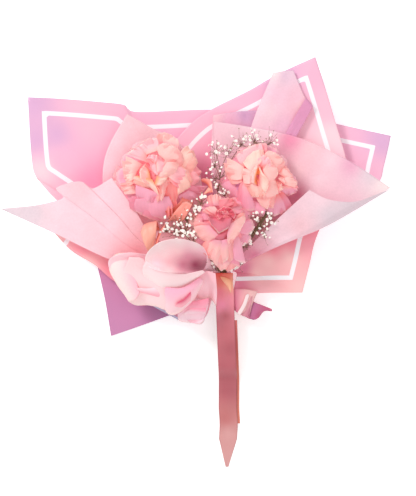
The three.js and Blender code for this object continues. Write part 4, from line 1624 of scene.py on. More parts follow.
BLOOMS = (
    Bloom("left_bloom", 6, (-77, 121, 92), skirt=46, skirt_z=-36, petals=(
        Lobe(((-28, -10), (-34, -1)), ((-40, -15), (-50, -7), (-47, 6), (-40, 5)),
              (-30, -44), MAUVE_SKIN, PINK_SKIN),
        Lobe(((9, 37), (25, 33)), ((9, 48), (17, 49), (25, 44)), (-26, -32), PINK_SKIN, PEACH_SKIN),
        Lobe(((27, 25), (28, 10)), ((37, 36), (44, 23), (40, 13), (36, 7)),
              (-16, -26), PEACH_SKIN, CREAM_SKIN),
        Lobe(((36, 13), (36, -12)), ((43, 9), (52, -2), (44, -9)), (-26, -34), CORAL_SKIN, PINK_SKIN),
        Lobe(((37, -10), (40, -16)), ((60, -11), (52, -19)), (-32, -38), MAUVE_SKIN, MAUVE_SKIN),
        Lobe(((26, -22), (37, -16)), ((34, -32), (43, -29), (49, -22)),
              (-24, -34), MAUVE_SKIN, MAUVE_SKIN),
        Lobe(((-22, -26), (14, -23)), ((-22, -41), (-4, -47), (10, -50), (19, -46)),
              (-14, -32), MAUVE_SKIN, MAUVE_SKIN, bulge=4),
        Lobe(((13, -25), (18, -26)), ((13, -49), (19, -45)), (-17, -30), CORAL_SKIN, CORAL_SKIN),
        Lobe(((-25, -10), (-23, -19)), ((-40, -14), (-37, -20)), (-24, -34), PEACH_SKIN, PEACH_SKIN),
        Lobe(((-15, 13), (-21, 5)), ((-35, 23), (-36, 4)), (-4, -16), CORAL_SKIN, PEACH_SKIN, bulge=4),
        Lobe(((-8, 15), (-10, 24)), ((-34, 26), (-21, 34)), (0, -10), CORAL_SKIN, PINK_SKIN, bulge=3),
        Lobe(((-10, 24), (3, 29)), ((-20, 34), (-10, 41), (1, 44)),
              (-2, -12), PEACH_SKIN, PINK_SKIN, bulge=3),
        Lobe(((4, 24), (13, 16)), ((3, 36), (12, 38), (20, 35), (26, 28), (28, 22), (26, 13)),
              (0, -10), PEACH_SKIN, PEACH_SKIN, bulge=5, curl=3),
        Lobe(((-21, 5), (-24, -4)), ((-35, 4), (-33, -5)), (-4, -14), CORAL_SKIN, CREAM_SKIN, bulge=3),
        Lobe(((12, 13), (15, -1)), ((26, 13), (35, 7), (36, 1), (29, -9)),
              (2, -10), PEACH_SKIN, PINK_SKIN, bulge=4, curl=3),
        Lobe(((29, 3), (26, -7)), ((37, 1), (40, -12), (26, -21)),
              (-6, -16), PEACH_SKIN, CREAM_SKIN, bulge=3),
        Lobe(((14, -8), (26, -6)), ((15, -26), (22, -32), (28, -16)),
              (-8, -22), CORAL_SKIN, CORAL_SKIN, bulge=4),
        Lobe(((-22, -10), (3, -19)), ((-20, -28), (-10, -31), (3, -25)),
              (-8, -18), MAUVE_SKIN, MAUVE_SKIN, bulge=4),
        Lobe(((7, -6), (13, -4)), ((3, -22), (7, -29), (14, -12), (20, -7)),
              (0, -12), CORAL_SKIN, PEACH_SKIN),
        Lobe(((-20, 0), (-4, -4)), ((-25, -4), (-15, -11), (-6, -13), (3, -22)),
              (2, -5), ORANGE_SKIN, CREAM_SKIN, bulge=3, curl=3),
        Lobe(((-7, 4), (-4, -8)), ((-13, 11), (-18, 5), (-17, -3), (-13, -8)),
              (0, 6), ORANGE_SKIN, PEACH_SKIN, bulge=-2, curl=0),
        Lobe(((13, 15), (3, 0)), ((27, 13), (23, 3), (15, -2)), (8, 0), PEACH_SKIN, PEACH_SKIN, bulge=4),
        Lobe(((2, 1), (0, -9)), ((16, 7), (13, -4), (7, -10)), (6, 4), ORANGE_SKIN, CREAM_SKIN, bulge=2),
        Lobe(((1, 16), (4, 3)), ((-7, 20), (-4, 13), (-4, 7), (1, 1)),
              (10, 6), CORAL_SKIN, PINK_SKIN, bulge=2),
        Lobe(((1, 16), (2, 3)), ((1, 23), (12, 13), (10, 6), (3, 1)),
              (10, 5), PEACH_SKIN, PINK_SKIN, bulge=3),
        Lobe(((-4, 19), (0, 13)), ((-7, 20), (-3, 24), (2, 23)), (12, 8), CORAL_SKIN, PINK_SKIN, bulge=1),
    )),
    Bloom("right_bloom", 5, (41, 123, 89), skirt=38, skirt_z=-30, petals=(
        Lobe(((-26, -6), (-19, -23)), ((-43, -12), (-38, -20), (-29, -30), (-18, -39)),
              (-24, -36), MAUVE_SKIN, MAUVE_SKIN, bulge=3),
        Lobe(((-17, -7), (-18, -15)), ((-27, -9), (-25, -17), (-19, -23)),
              (-14, -24), PLUM_SKIN, PLUM_SKIN),
        Lobe(((-8, -27), (8, -36)), ((-16, -41), (-5, -46), (6, -48)), (-24, -34), MAUVE_SKIN, MAUVE_SKIN),
        Lobe(((12, -25), (23, -21)), ((8, -40), (19, -48), (27, -45), (33, -41)),
              (-22, -34), CORAL_SKIN, MAUVE_SKIN, bulge=4),
        Lobe(((-17, -10), (-10, -11)), ((-19, -24), (-18, -40), (-10, -42), (-2, -41), (-8, -25)),
              (-8, -26), PINK_SKIN, MAUVE_SKIN, bulge=4),
        Lobe(((-3, -24), (12, -24)), ((4, -36), (11, -40), (14, -33)),
              (-10, -20), CORAL_SKIN, PEACH_SKIN, bulge=3),
        Lobe(((-16, 9), (4, 19)), ((-25, 23), (-15, 30), (-5, 35), (3, 37)),
              (-10, -20), CORAL_SKIN, PINK_SKIN, bulge=3),
        Lobe(((-16, 8), (-19, -5)), ((-36, 19), (-36, 11), (-35, 4), (-31, -5)),
              (-8, -22), PEACH_SKIN, PEACH_SKIN, bulge=4),
        Lobe(((4, 17), (15, 12)), ((13, 28), (21, 25), (29, 19), (25, 8), (21, 5)),
              (-6, -16), CORAL_SKIN, PEACH_SKIN, bulge=4),
        Lobe(((1, 8), (8, 5)), ((0, 19), (7, 22), (14, 17), (14, 10)),
              (0, 2), CORAL_SKIN, PINK_SKIN, bulge=3, curl=2),
        Lobe(((-8, 3), (1, 11)), ((-17, 14), (-12, 21), (-5, 27), (1, 29), (4, 19)),
              (4, -6), PEACH_SKIN, CREAM_SKIN, bulge=5, curl=3),
        Lobe(((-5, 1), (-6, -10)), ((-18, 7), (-18, -1), (-17, -10)),
              (4, -4), PEACH_SKIN, PEACH_SKIN, bulge=4, curl=2),
        Lobe(((7, -8), (5, -18)), ((19, -6), (25, -14), (23, -22), (12, -27)),
              (0, -12), CORAL_SKIN, PEACH_SKIN, bulge=5, curl=3),
        Lobe(((5, 4), (8, -7)), ((15, 15), (21, 8), (23, 0), (18, -6), (12, -8)),
              (6, -4), PEACH_SKIN, PEACH_SKIN, bulge=5, curl=3),
        Lobe(((-7, -11), (5, -16)), ((-11, -16), (-3, -26), (7, -25)),
              (4, -6), PEACH_SKIN, CREAM_SKIN, bulge=3, curl=3),
        Lobe(((-5, -1), (-3, -11)), ((-8, 3), (-10, -4), (-8, -10)),
              (8, 6), GOLD_SKIN, PEACH_SKIN, bulge=2),
        Lobe(((-2, 3), (-4, -8)), ((-2, 11), (-8, 3), (-8, -10)), (9, 8), GOLD_SKIN, PEACH_SKIN, bulge=2),
        Lobe(((-3, -3), (1, -11)), ((-1, -10), (4, -16), (5, -17)),
              (6, 6), GOLD_SKIN, CORAL_SKIN, bulge=-1, curl=0),
        Lobe(((1, 5), (1, -11)), ((0, 8), (6, -1), (11, -7), (11, -14), (8, -21)),
              (8, 10), CORAL_SKIN, CREAM_SKIN, bulge=3, curl=2),
        Lobe(((-3, 0), (1, -1)), ((-4, 4), (0, 8), (3, 0)), (4, 9), GOLD_SKIN, GOLD_SKIN, bulge=0, curl=0),
    )),
    Bloom("small_bloom", 3, (74, 114, 74), skirt=13, skirt_z=-16, petals=(
        Lobe(((-6, -4), (3, -3)), ((-8, -9), (-1, -13), (5, -14), (13, -9)),
              (-6, -14), PEACH_SKIN, MAUVE_SKIN, bulge=3),
        Lobe(((2, -2), (5, -5)), ((12, -4), (13, -8)), (-4, -10), CORAL_SKIN, PINK_SKIN),
        Lobe(((-6, 8), (-1, 5)), ((-11, 13), (-3, 19), (7, 8)),
              (0, -6), PEACH_SKIN, PEACH_SKIN, bulge=4, curl=2),
        Lobe(((-3, 5), (-3, -2)), ((6, 7), (13, -1), (10, -5)),
              (4, -4), PEACH_SKIN, PEACH_SKIN, bulge=4, curl=2),
        Lobe(((-10, -5), (-8, -4)), ((-14, -1), (-11, 2), (-9, -2)), (4, 0), CORAL_SKIN, PEACH_SKIN),
        Lobe(((-10, -5), (-9, -6)), ((-10, 1), (-6, 1), (-5, -3)), (5, 1), CORAL_SKIN, PEACH_SKIN),
        Lobe(((-9, -5), (-10, -7)), ((-5, -3), (-4, -8), (-8, -10)), (5, 1), CORAL_SKIN, CREAM_SKIN),
        Lobe(((-10, -5), (-11, -4)), ((-8, -10), (-13, -10), (-14, -6)), (4, 0), CORAL_SKIN, PINK_SKIN),
        Lobe(((-8, 2), (-3, -2)), ((-10, 5), (-5, 6), (-2, 2)), (6, 5), CORAL_SKIN, PEACH_SKIN, bulge=2),
    )),
    Bloom("centre_bloom", 6, (0, 64, 97), skirt=36, skirt_z=-32, petals=(
        Lobe(((-14, 22), (-8, 23)), ((-22, 24), (-15, 33), (-10, 30)), (-22, -30), DUSK_SKIN, MAUVE_SKIN),
        Lobe(((-17, 17), (-15, 7)), ((-26, 22), (-27, 15), (-25, 8)), (-16, -26), DUSK_SKIN, MAUVE_SKIN),
        Lobe(((-23, 9), (-23, 1)), ((-40, 8), (-39, 0)), (-18, -30), DUSK_SKIN, FADED_SKIN),
        Lobe(((-10, 23), (-2, 23)), ((-12, 35), (-7, 37), (-2, 34)), (-16, -24), DUSK_SKIN, FADED_SKIN),
        Lobe(((6, 22), (11, 15)), ((15, 27), (23, 20), (23, 14)), (-10, -20), WINE_SKIN, DUSK_SKIN),
        Lobe(((-7, -42), (8, -38)), ((-7, -46), (-2, -52), (6, -49)), (-22, -32), DUSK_SKIN, FADED_SKIN),
        Lobe(((11, -13), (18, -12)), ((8, -25), (8, -39), (17, -42), (26, -43), (24, -34)),
              (-12, -26), DUSK_SKIN, MAUVE_SKIN, bulge=4),
        Lobe(((-11, -13), (7, -15)), ((-20, -23), (-15, -37), (-7, -46), (2, -43), (8, -39), (8, -27)),
              (-8, -24), WINE_SKIN, FADED_SKIN, bulge=6, curl=3),
        Lobe(((-9, -16), (-2, -17)), ((-19, -24), (-17, -33), (-10, -38), (-2, -30)),
              (-4, -20), DUSK_SKIN, PEACH_SKIN, bulge=3, curl=2),
        Lobe(((-2, -17), (6, -15)), ((-4, -34), (1, -44), (8, -36), (9, -26)),
              (-5, -21), MAUVE_SKIN, FADED_SKIN, bulge=3, curl=2),
        Lobe(((-3, 17), (4, 21)), ((-3, 31), (7, 32), (14, 26)), (-6, -14), RED_SKIN, WINE_SKIN, bulge=3),
        Lobe(((-10, 13), (-4, 12)), ((-20, 20), (-15, 22), (-9, 22)),
              (-2, -10), WINE_SKIN, FADED_SKIN, bulge=3),
        Lobe(((-15, 0), (-5, -10)), ((-33, -2), (-31, -10), (-26, -15), (-19, -19), (-10, -17)),
              (-2, -14), DUSK_SKIN, FADED_SKIN, bulge=5, curl=3),
        Lobe(((7, 0), (5, -10)), ((24, 11), (27, 7), (18, -10), (8, -22)),
              (0, -12), DUSK_SKIN, PEACH_SKIN, bulge=5, curl=3),
        Lobe(((-4, -10), (6, -6)), ((-10, -17), (-2, -18), (7, -12)),
              (-1, -8), RED_SKIN, ROSY_SKIN, bulge=3),
        Lobe(((2, 13), (-4, 10)), ((-4, 7), (-7, 13), (-4, 18)),
              (2, 6), RED_SKIN, RED_SKIN, bulge=2, ruffle=1.5),
        Lobe(((2, 13), (4, 17)), ((-4, 18), (1, 22), (7, 20)),
              (2, 6), RED_SKIN, RED_SKIN, bulge=2, ruffle=1.5),
        Lobe(((4, 14), (8, 15)), ((6, 20), (12, 18), (15, 12)),
              (0, 4), RED_SKIN, RED_SKIN, bulge=2, ruffle=1.5),
        Lobe(((4, 12), (8, 12)), ((15, 12), (13, 8), (8, 7)),
              (0, 3), RED_SKIN, RED_SKIN, bulge=2, ruffle=1.5),
        Lobe(((1, 12), (5, 12)), ((-1, 16), (4, 17), (7, 14)),
              (6, 8), RED_SKIN, WINE_SKIN, bulge=1, ruffle=1.2),
        Lobe(((-11, 8), (7, 9)), ((-16, 7), (-12, 0), (-4, -9), (7, -2), (9, 7)),
              (2, 3), RED_SKIN, ROSY_SKIN, bulge=2, curl=2),
    )),
)


# ------------------------------------------------------------------ stems and calyces
STEEP = 0.9
WELD_GAP = 0.00002


def tube(points: np.ndarray, radii: np.ndarray, sides: int) -> tuple[np.ndarray, list[tuple[int, ...]]]:
    """Makes a closed round tube along a line.

    Args:
        points: its centreline.
        radii: its radius at each point.
        sides: how many sides it has.

    Returns:
        Its vertices and faces.
    """
    tangent = np.gradient(points, axis=0)
    tangent /= np.maximum(np.linalg.norm(tangent, axis=1, keepdims=True), TINY)
    steep = abs(tangent[0][2]) >= STEEP
    up = np.array([1.0, 0.0, 0.0]) if steep else np.array([0.0, 0.0, 1.0])
    across = np.cross(tangent, up)
    across /= np.maximum(np.linalg.norm(across, axis=1, keepdims=True), TINY)
    third = np.cross(across, tangent)
    a = np.linspace(0, 2 * math.pi, sides, endpoint=False)
    rings = (points[:, None] + radii[:, None, None]
             * (np.cos(a)[None, :, None] * across[:, None] + np.sin(a)[None, :, None] * third[:, None]))
    n = len(points)
    faces = []
    for j in range(n - 1):
        for i in range(sides):
            k = (i + 1) % sides
            faces.append((j * sides + i, j * sides + k, (j + 1) * sides + k, (j + 1) * sides + i))
    faces.append(tuple(range(sides))[::-1])
    faces.append(tuple((n - 1) * sides + i for i in range(sides)))
    return rings.reshape(-1, 3), faces


def refine(node: str, name: str, finish: Plain, slot: str, level: int) -> bpy.types.Object:
    """Makes a smooth piece in the place of a plain CAD solid.

    Args:
        node: the CAD node.
        name: the new piece's name.
        finish: its finish.
        slot: its record slot.
        level: how many times to subdivide it.

    Returns:
        The piece.
    """
    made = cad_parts[node].copy()
    made.data = made.data.copy()
    made.name = name
    made.hide_render = False
    made.hide_viewport = False
    bpy.context.scene.collection.objects.link(made)
    made.data.materials.clear()
    made.data.materials.append(finish.material())
    weld = made.modifiers.new("weld", "WELD")
    weld.merge_threshold = WELD_GAP
    smooth = made.modifiers.new("smooth", "SUBSURF")
    smooth.levels = smooth.render_levels = level
    for p in made.data.polygons:
        p.use_smooth = True
    return settle(made, slot, node)


# ------------------------------------------------------------------ baby's breath
@dataclass(frozen=True)
class Cluster:
    """A loose handful of florets round one place."""

    x: float
    y: float
    z: float
    spread: float
    count: int


@dataclass(frozen=True)
class Spray:
    """A spray of baby's breath: its CAD node, its trunk and its clusters."""

    node: str
    trunk: Line
    clusters: tuple[Cluster, ...]
    seed: int


@dataclass(frozen=True)
class Scatter:
    """How open florets or closed buds are strewn through a cluster.

    It holds how many there are for each of the cluster's florets, how flat and how wide they lie, how
    far they hang, where their twigs leave the knot, the twigs' radius, the florets' least and greatest
    radius, and their material's index.
    """

    share: float
    flat: float
    spread: float
    drop: float
    leaves: Point
    twig: float
    sizes: tuple[float, float]
    slot: int


OPEN_FLORETS = Scatter(1.0, 0.45, 0.62, 0.0, (0, 0, 0), 0.2, (1.2, 2.2), 0)
BUDS = Scatter(2.2, 0.5, 0.78, 2.5, (0, 2, 5), 0.17, (0.45, 0.85), 2)


@dataclass(frozen=True)
class Whorl:
    """One ring of a floret's petals: how many, how far they reach and how far they rise."""

    petals: int
    reach: float
    rise: float


WHORLS = (Whorl(8, 1.0, 0.1), Whorl(5, 0.55, 0.5))

# A floret's petal: each point's share of the reach, of the half width and of the rise.
NOTCHED_PETAL = ((0, 0, 0), (0.6, -1, 0.9), (1, -0.6, 0.6), (0.86, 0, 1), (1, 0.6, 0.6), (0.6, 1, 0.9),
                 (0.5, 0, 0.5))
PETAL_FACES = [(0, 1, 6), (1, 2, 3, 6), (3, 4, 5, 6), (0, 6, 5)]
PETAL_HALF_WIDTH = 0.42
PETAL_TURN = 0.2
PETAL_LENGTHS = (0.85, 1.1)
FLORET_FACING = (0, 0.15, 1.0)
FLORET_SIDE = (0.3, 1, 0.1)
FLORET_TILT = 0.45
TRUNK_POINTS = 24
TRUNK_RADII = (0.9, 0.45)
TRUNK_SIDES = 6
BRANCH_RADIUS = 0.5
TWIG_POINTS = 7
TWIG_SIDES = 5
TWIG_TAPER = 0.7
TWIG_BEND = 0.05
KNOT_DROP = 0.9


class SprayMaker:
    """Builds a spray's twigs and its small double florets."""

    def __init__(self, spray: Spray) -> None:
        """Keeps the spray's sizes.

        Args:
            spray: the sizes.
        """
        self.spray = spray
        self.rng = np.random.default_rng(spray.seed)

    def build(self) -> bpy.types.Object:
        """Makes the spray.

        Returns:
            The piece.
        """
        s = self.spray
        maker = MeshMaker(f"{s.node}_spray")
        trunk = curve(s.trunk, TRUNK_POINTS)
        maker.solid(*tube(trunk, np.linspace(*TRUNK_RADII, TRUNK_POINTS), TRUNK_SIDES), slot=1)
        for c in s.clusters:
            heart = np.array([c.x, c.y, c.z])
            start = trunk[np.argmin(np.linalg.norm(trunk - heart, axis=1))]
            knot = heart - np.array([0, 3, c.spread * KNOT_DROP])
            self.twig(maker, start, knot, BRANCH_RADIUS)
            for scatter in (OPEN_FLORETS, BUDS):
                self.strew(maker, c, knot, scatter)
        return settle(maker.build([FLORET.material(), TWIG.material(), BUD.material()]),
                      "babys_breath", s.node)

    def strew(self, maker: MeshMaker, c: Cluster, knot: np.ndarray, scatter: Scatter) -> None:
        """Strews a cluster's florets or buds, each on its own twig.

        Args:
            maker: the mesh to add to.
            c: the cluster.
            knot: where its twigs part.
            scatter: how they lie.
        """
        heart = np.array([c.x, c.y, c.z])
        for _ in range(int(c.count * scatter.share)):
            off = self.rng.normal(0, 1, 3) * np.array([1, 1, scatter.flat])
            tip = heart + off * c.spread * scatter.spread
            tip[2] -= scatter.drop
            self.twig(maker, knot - np.array(scatter.leaves), tip, scatter.twig)
            self.floret(maker, tip, self.rng.uniform(*scatter.sizes), scatter.slot)

    def twig(self, maker: MeshMaker, a: np.ndarray, b: np.ndarray, r: float) -> None:
        """Grows a twig between two points.

        Args:
            maker: the mesh to add to.
            a: where it starts.
            b: where it ends.
            r: its radius.
        """
        middle = (a + b) / 2 + self.rng.normal(0, 1, 3) * TWIG_BEND * np.linalg.norm(b - a)
        line = curve((tuple(a), tuple(middle), tuple(b)), TWIG_POINTS)
        maker.solid(*tube(line, np.linspace(r, r * TWIG_TAPER, TWIG_POINTS), TWIG_SIDES), slot=1)

    def floret(self, maker: MeshMaker, tip: np.ndarray, size: float, slot: int) -> None:
        """Opens a floret of small notched petals in two rings.

        Args:
            maker: the mesh to add to.
            tip: its middle.
            size: its radius.
            slot: its material's index.
        """
        facing = self.rng.normal(0, FLORET_TILT, 3) + np.array(FLORET_FACING)
        facing /= np.linalg.norm(facing)
        side = np.cross(facing, FLORET_SIDE)
        side /= np.linalg.norm(side)
        third = np.cross(facing, side)
        first = 0
        for whorl in WHORLS:
            for k in range(first, first + whorl.petals):
                a = 2 * math.pi * k / whorl.petals + self.rng.uniform(-PETAL_TURN, PETAL_TURN)
                reach = size * whorl.reach * self.rng.uniform(*PETAL_LENGTHS)
                rise = size * whorl.rise
                out = math.cos(a) * side + math.sin(a) * third
                across = -math.sin(a) * side + math.cos(a) * third
                half = reach * PETAL_HALF_WIDTH
                points = np.array([tip + out * reach * o + across * half * w + facing * rise * f
                                   for o, w, f in NOTCHED_PETAL])
                maker.solid(points, PETAL_FACES, slot=slot)
            first += whorl.petals


SPRAYS = (
    Spray("babys_breath_top", ((0, 6, 12), (-4, 30, 17), (-7, 58, 28), (-6, 95, 42), (-3, 118, 52)), (
        Cluster(-9, 138, 64, 8, 8), Cluster(-8, 154, 64, 8, 8), Cluster(6, 152, 66, 8, 8),
        Cluster(22, 162, 64, 8, 10), Cluster(38, 166, 62, 8, 10), Cluster(54, 164, 60, 8, 8),
        Cluster(-8, 122, 64, 7, 8), Cluster(-5, 108, 64, 7, 6), Cluster(2, 103, 66, 6, 7)), 3),
    Spray("babys_breath_left", ((-4, 6, 16), (-15, 24, 25), (-27, 36, 38), (-36, 46, 48), (-46, 56, 58)), (
        Cluster(-66, 62, 76, 7, 11), Cluster(-54, 58, 80, 8, 13), Cluster(-42, 58, 82, 8, 12),
        Cluster(-34, 50, 84, 6, 8), Cluster(-52, 70, 78, 7, 8), Cluster(-36, 74, 78, 7, 8),
        Cluster(-28, 84, 76, 7, 10), Cluster(-24, 94, 72, 6, 7), Cluster(-56, 84, 66, 6, 5)), 5),
    Spray("babys_breath_right", ((5, 6, 18), (10, 21, 30), (21, 34, 37), (30, 46, 42), (44, 62, 46)), (
        Cluster(28, 44, 60, 6, 6), Cluster(34, 56, 62, 7, 9), Cluster(46, 66, 62, 8, 10),
        Cluster(56, 76, 62, 6, 8), Cluster(40, 76, 62, 6, 7), Cluster(50, 54, 58, 5, 5)), 7),
    Spray("babys_breath_front", ((0, 6, 20), (-2, 20, 34), (-3, 26, 44)), (
        Cluster(-16, 38, 62, 6, 7), Cluster(-12, 24, 56, 6, 8), Cluster(-4, 16, 52, 5, 6),
        Cluster(10, 17, 50, 5, 6), Cluster(20, 22, 50, 6, 7)), 9),
)


# ------------------------------------------------------------------ ribbon
# A length of ribbon: its points across and along, its thickness, how far a point narrows, its least
# height above the table, and its creases with each one's share, turns across and turns along.
STRIP_GRID = (17, 150)
STRIP_T = 0.3
POINT_TAPER = 0.85
TABLE_GAP = 0.2
STRIP_CREASES = ((1.0, 3.1, 7), (0.6, 7, -11))

# The turn round the waist: its points round and across, radius, half width, thickness, hollow edges,
# how far it wanders along the stems, and its creases with each one's depth and turns across.
WAIST_GRID = (140, 25)
WAIST_R = 12.9
WAIST_HALF = 8
WAIST_T = 0.4
WAIST_CROWN = 0.5
WAIST_WANDER = 0.5
PULLED = (0.35, 9)
FINE_PULLED = (0.2, 17)
# The satin's tints hold painted light and shade: the red-orange at the knot and round the waist is painted
# light shining through the satin, the pale coral and peach are painted highlights, copper is the loops' inner
# side in painted shade, and rose and deep satin are the ribbon's own dusty rose in painted shade.
ROSE_SATIN = (188, 96, 106)
LIGHT_SATIN = (217, 156, 154)
DEEP_SATIN = (176, 86, 96)
CORAL_SATIN = (252, 152, 138)
COPPER_SATIN = (226, 108, 92)
PALE_CORAL = (255, 190, 168)
WAIST_TINTS = (Tint(-6, 8, (199, 70, 66)), Tint(6, 6, (235, 150, 140)), Tint(-8, -6, (236, 160, 176)),
               Tint(8, -6, (214, 130, 150)))


@dataclass(frozen=True)
class Strip:
    """A length of ribbon: its path, which way its width lies, how wide it is, and its tints."""

    name: str
    path: Line
    side: Line
    width: float
    tints: tuple[Tint, ...]
    point: float = 1.0
    crease: float = 0.4
    slot: str = "ribbon"
    held: str = "gathered"
    rests_on: tuple[str, ...] = ("ribbon_waist",)
    extra: tuple[Lobe, ...] = ()


class Ribbon:
    """Builds the ribbon's turn round the waist, its tails and its loops."""

    def __init__(self, strips: tuple[Strip, ...]) -> None:
        """Keeps the strips to make.

        Args:
            strips: their sizes.
        """
        self.strips = strips

    def build(self) -> None:
        """Makes every length of ribbon and the knot's turn round the waist."""
        for s in self.strips:
            self.strip(s)
        self.waist()

    def strip(self, s: Strip) -> bpy.types.Object:
        """Makes one length of ribbon.

        Args:
            s: its sizes.

        Returns:
            The piece.
        """
        across, n = STRIP_GRID
        line = curve(s.path, n)
        side = curve(s.side, n) if len(s.side) > 1 else np.tile(s.side[0], (n, 1))
        side = side / np.linalg.norm(side, axis=1, keepdims=True)
        t = np.linspace(0, 1, n)
        half = s.width / 2 * (1 - POINT_TAPER * np.clip((t - s.point) / max(1 - s.point, TINY), 0, 1))
        k = np.linspace(-1, 1, across)
        grid = line[:, None] + side[:, None] * (half[:, None] * k[None])[..., None]
        fold = sum(h * np.sin(over * k[None] + down * t[:, None]) for h, over, down in STRIP_CREASES)
        grid = grid + normals(grid) * (fold * s.crease * 0.5)[..., None]
        grid[..., 2] = np.maximum(grid[..., 2], TABLE_GAP)
        maker = MeshMaker(f"{s.name}_satin")
        maker.surface(Surface(grid, tinted(grid, s.tints)))
        extra = add_lobes(maker, s.extra)
        piece = maker.build([SATIN.material()], STRIP_T)
        return settle(piece, s.slot, s.name)

    def waist(self) -> bpy.types.Object:
        """Wraps the ribbon round the waist with pulled creases.

        Returns:
            The piece.
        """
        n, across = WAIST_GRID
        a = np.linspace(0, 2 * math.pi, n)[None]
        k = np.linspace(-1, 1, across)[:, None]
        crease = PULLED[0] * np.sin(PULLED[1] * k + 3 * np.sin(a))
        crease = crease + FINE_PULLED[0] * np.sin(FINE_PULLED[1] * k + 2 * a)
        r = WAIST_R + crease - WAIST_CROWN * k * k
        y = WAIST_HALF * k + WAIST_WANDER * np.sin(2 * a)
        grid = np.stack([r * np.cos(a), y, WAIST_Z + r * np.sin(a)], axis=2)
        maker = MeshMaker("ribbon_waist_satin")
        width = np.tile(np.linspace(0, 1, across)[:, None], (1, n))
        maker.surface(Surface(grid, tinted(grid, WAIST_TINTS), across=width))
        piece = maker.build([SATIN.material()], WAIST_T)
        return settle(piece, "ribbon", "ribbon_waist")


# The loops' peach and pale coral are painted highlights on their lit faces, and copper is their inner sides
# in painted shade.
LEFT_LOOPS = (
    Lobe(((-84, 30), (-80, 38), (-78, 46)), ((-95, 57), (-90, 66), (-76, 70)),
         (68, 76), (255, 200, 176), (254, 168, 150), bulge=7, curl=4, ruffle=0.3, lit=0.0),
    Lobe(((-79, 36), (-77, 47), (-73, 58)), ((-76, 42), (-70, 57), (-64, 68)),
         (70, 73), COPPER_SATIN, CORAL_SATIN, bulge=1, curl=0, ruffle=0.2, lit=0.0),
    Lobe(((-103, 84), (-99, 84)), ((-104, 96), (-101, 97)),
         (62, 62), CORAL_SATIN, PALE_CORAL, bulge=1, curl=0, ruffle=0.2, lit=0.0),
)
MIDDLE_LOOPS = (
    Lobe(((-64, 68), (-56, 70), (-47, 67)), ((-46, 91), (-41, 92), (-35, 89)),
         (70, 78), CORAL_SATIN, CORAL_SATIN, bulge=5, curl=3, ruffle=0.3, lit=0.3),
    Lobe(((-25, 116), (-18, 112), (-14, 104)), ((-22, 119), (-14, 117), (-11, 103)),
         (66, 70), COPPER_SATIN, CORAL_SATIN, bulge=2, curl=0, ruffle=0.3, lit=0.3),
    Lobe(((-22, 101), (-16, 109)), ((-17, 102), (-11, 103)),
         (68, 69), PALE_CORAL, CORAL_SATIN, bulge=2, curl=0, ruffle=0.3, lit=0.3),
)
# The knot's bright fold: its peach tints are a painted highlight.
KNOT_FOLDS = (
    Lobe(((-3, 5), (3, 4), (10, 1)), ((1, -1), (6, -7), (10.4, -15)),
         (31.2, 30.9), (255, 178, 138), (255, 196, 160), bulge=0.8, curl=0.3, ruffle=0.1, lit=0.3),
)
STRIPS = (
    Strip(
        "ribbon_back_tail",
        ((9, -47, 27.3), (11, -96, 17.5), (12, -118, 4), (12, -132, 0.9), (12, -144, 0.5), (12, -154, 0.4),
         (13, -172, 0.4)),
        ((1, 0, 0),), 17.3,
        (Tint(12, -60, (210, 104, 100)), Tint(12, -110, (214, 112, 96)), Tint(12, -160, (226, 128, 108))),
        rests_on=("stem_tie",)),
    Strip(
        "ribbon_front_tail",
        ((2, 9, 29.9), (2, -2, 29.9), (3, -14, 29.9), (4, -47, 27.9), (6, -96, 23.1), (7, -118, 6),
         (7, -132, 2.9), (7, -144, 2.4), (7, -154, 2.3), (8, -172, 2.3), (7.6, -183, 0.6), (7.2, -191, 0.4),
         (7, -198, 0.3), (6.5, -210, 0.3), (6, -224, 0.3)),
        ((1, 0, 0),), 21.6,
        # Red-orange at the knot is painted light shining through the satin, the peach just below it is a
        # painted highlight, and the deep and rose satin down the tail is painted shade.
        (Tint(-3, 8, (240, 76, 66)), Tint(5, 6, (238, 112, 92)), Tint(9, -4, (255, 200, 160)),
         Tint(0, -3, (236, 120, 110)), Tint(-2, -14, (240, 128, 150)), Tint(9, -22, (250, 150, 170)),
         Tint(0, -28, (250, 146, 178)), Tint(4, -42, DEEP_SATIN), Tint(2, -60, ROSE_SATIN),
         Tint(10, -80, DEEP_SATIN), Tint(4, -100, ROSE_SATIN), Tint(8, -130, DEEP_SATIN),
         Tint(4, -165, (194, 110, 110)), Tint(8, -185, LIGHT_SATIN), Tint(6, -215, LIGHT_SATIN)),
        point=0.86, extra=KNOT_FOLDS),
    Strip(
        "ribbon_loop_left",
        ((-66, 30, 62), (-80, 34, 62), (-86, 48, 64), (-83, 60, 66), (-74, 64, 66)),
        ((-0.3, -0.5, 1), (-0.5, -0.2, 1), (-0.8, 0.1, 1), (-0.6, 0.5, 1), (-0.2, 0.7, 1)), 17,
        (Tint(-84, 38, CORAL_SATIN), Tint(-92, 54, PALE_CORAL), Tint(-80, 66, COPPER_SATIN)),
        slot="coral_ribbon", held="folded", rests_on=("tissue_left",), extra=LEFT_LOOPS),
    Strip(
        "ribbon_loop_middle",
        ((-64, 76, 62), (-52, 80, 66), (-42, 90, 66), (-40, 100, 58)),
        ((-0.3, 0.6, 0.8), (-0.3, 0.8, 0.6), (-0.7, 0.6, 0.6), (-1, 0.3, 0.5)), 17,
        (Tint(-58, 80, COPPER_SATIN), Tint(-42, 92, CORAL_SATIN)),
        slot="coral_ribbon", held="folded", rests_on=("tissue_back_left",), extra=MIDDLE_LOOPS),
)


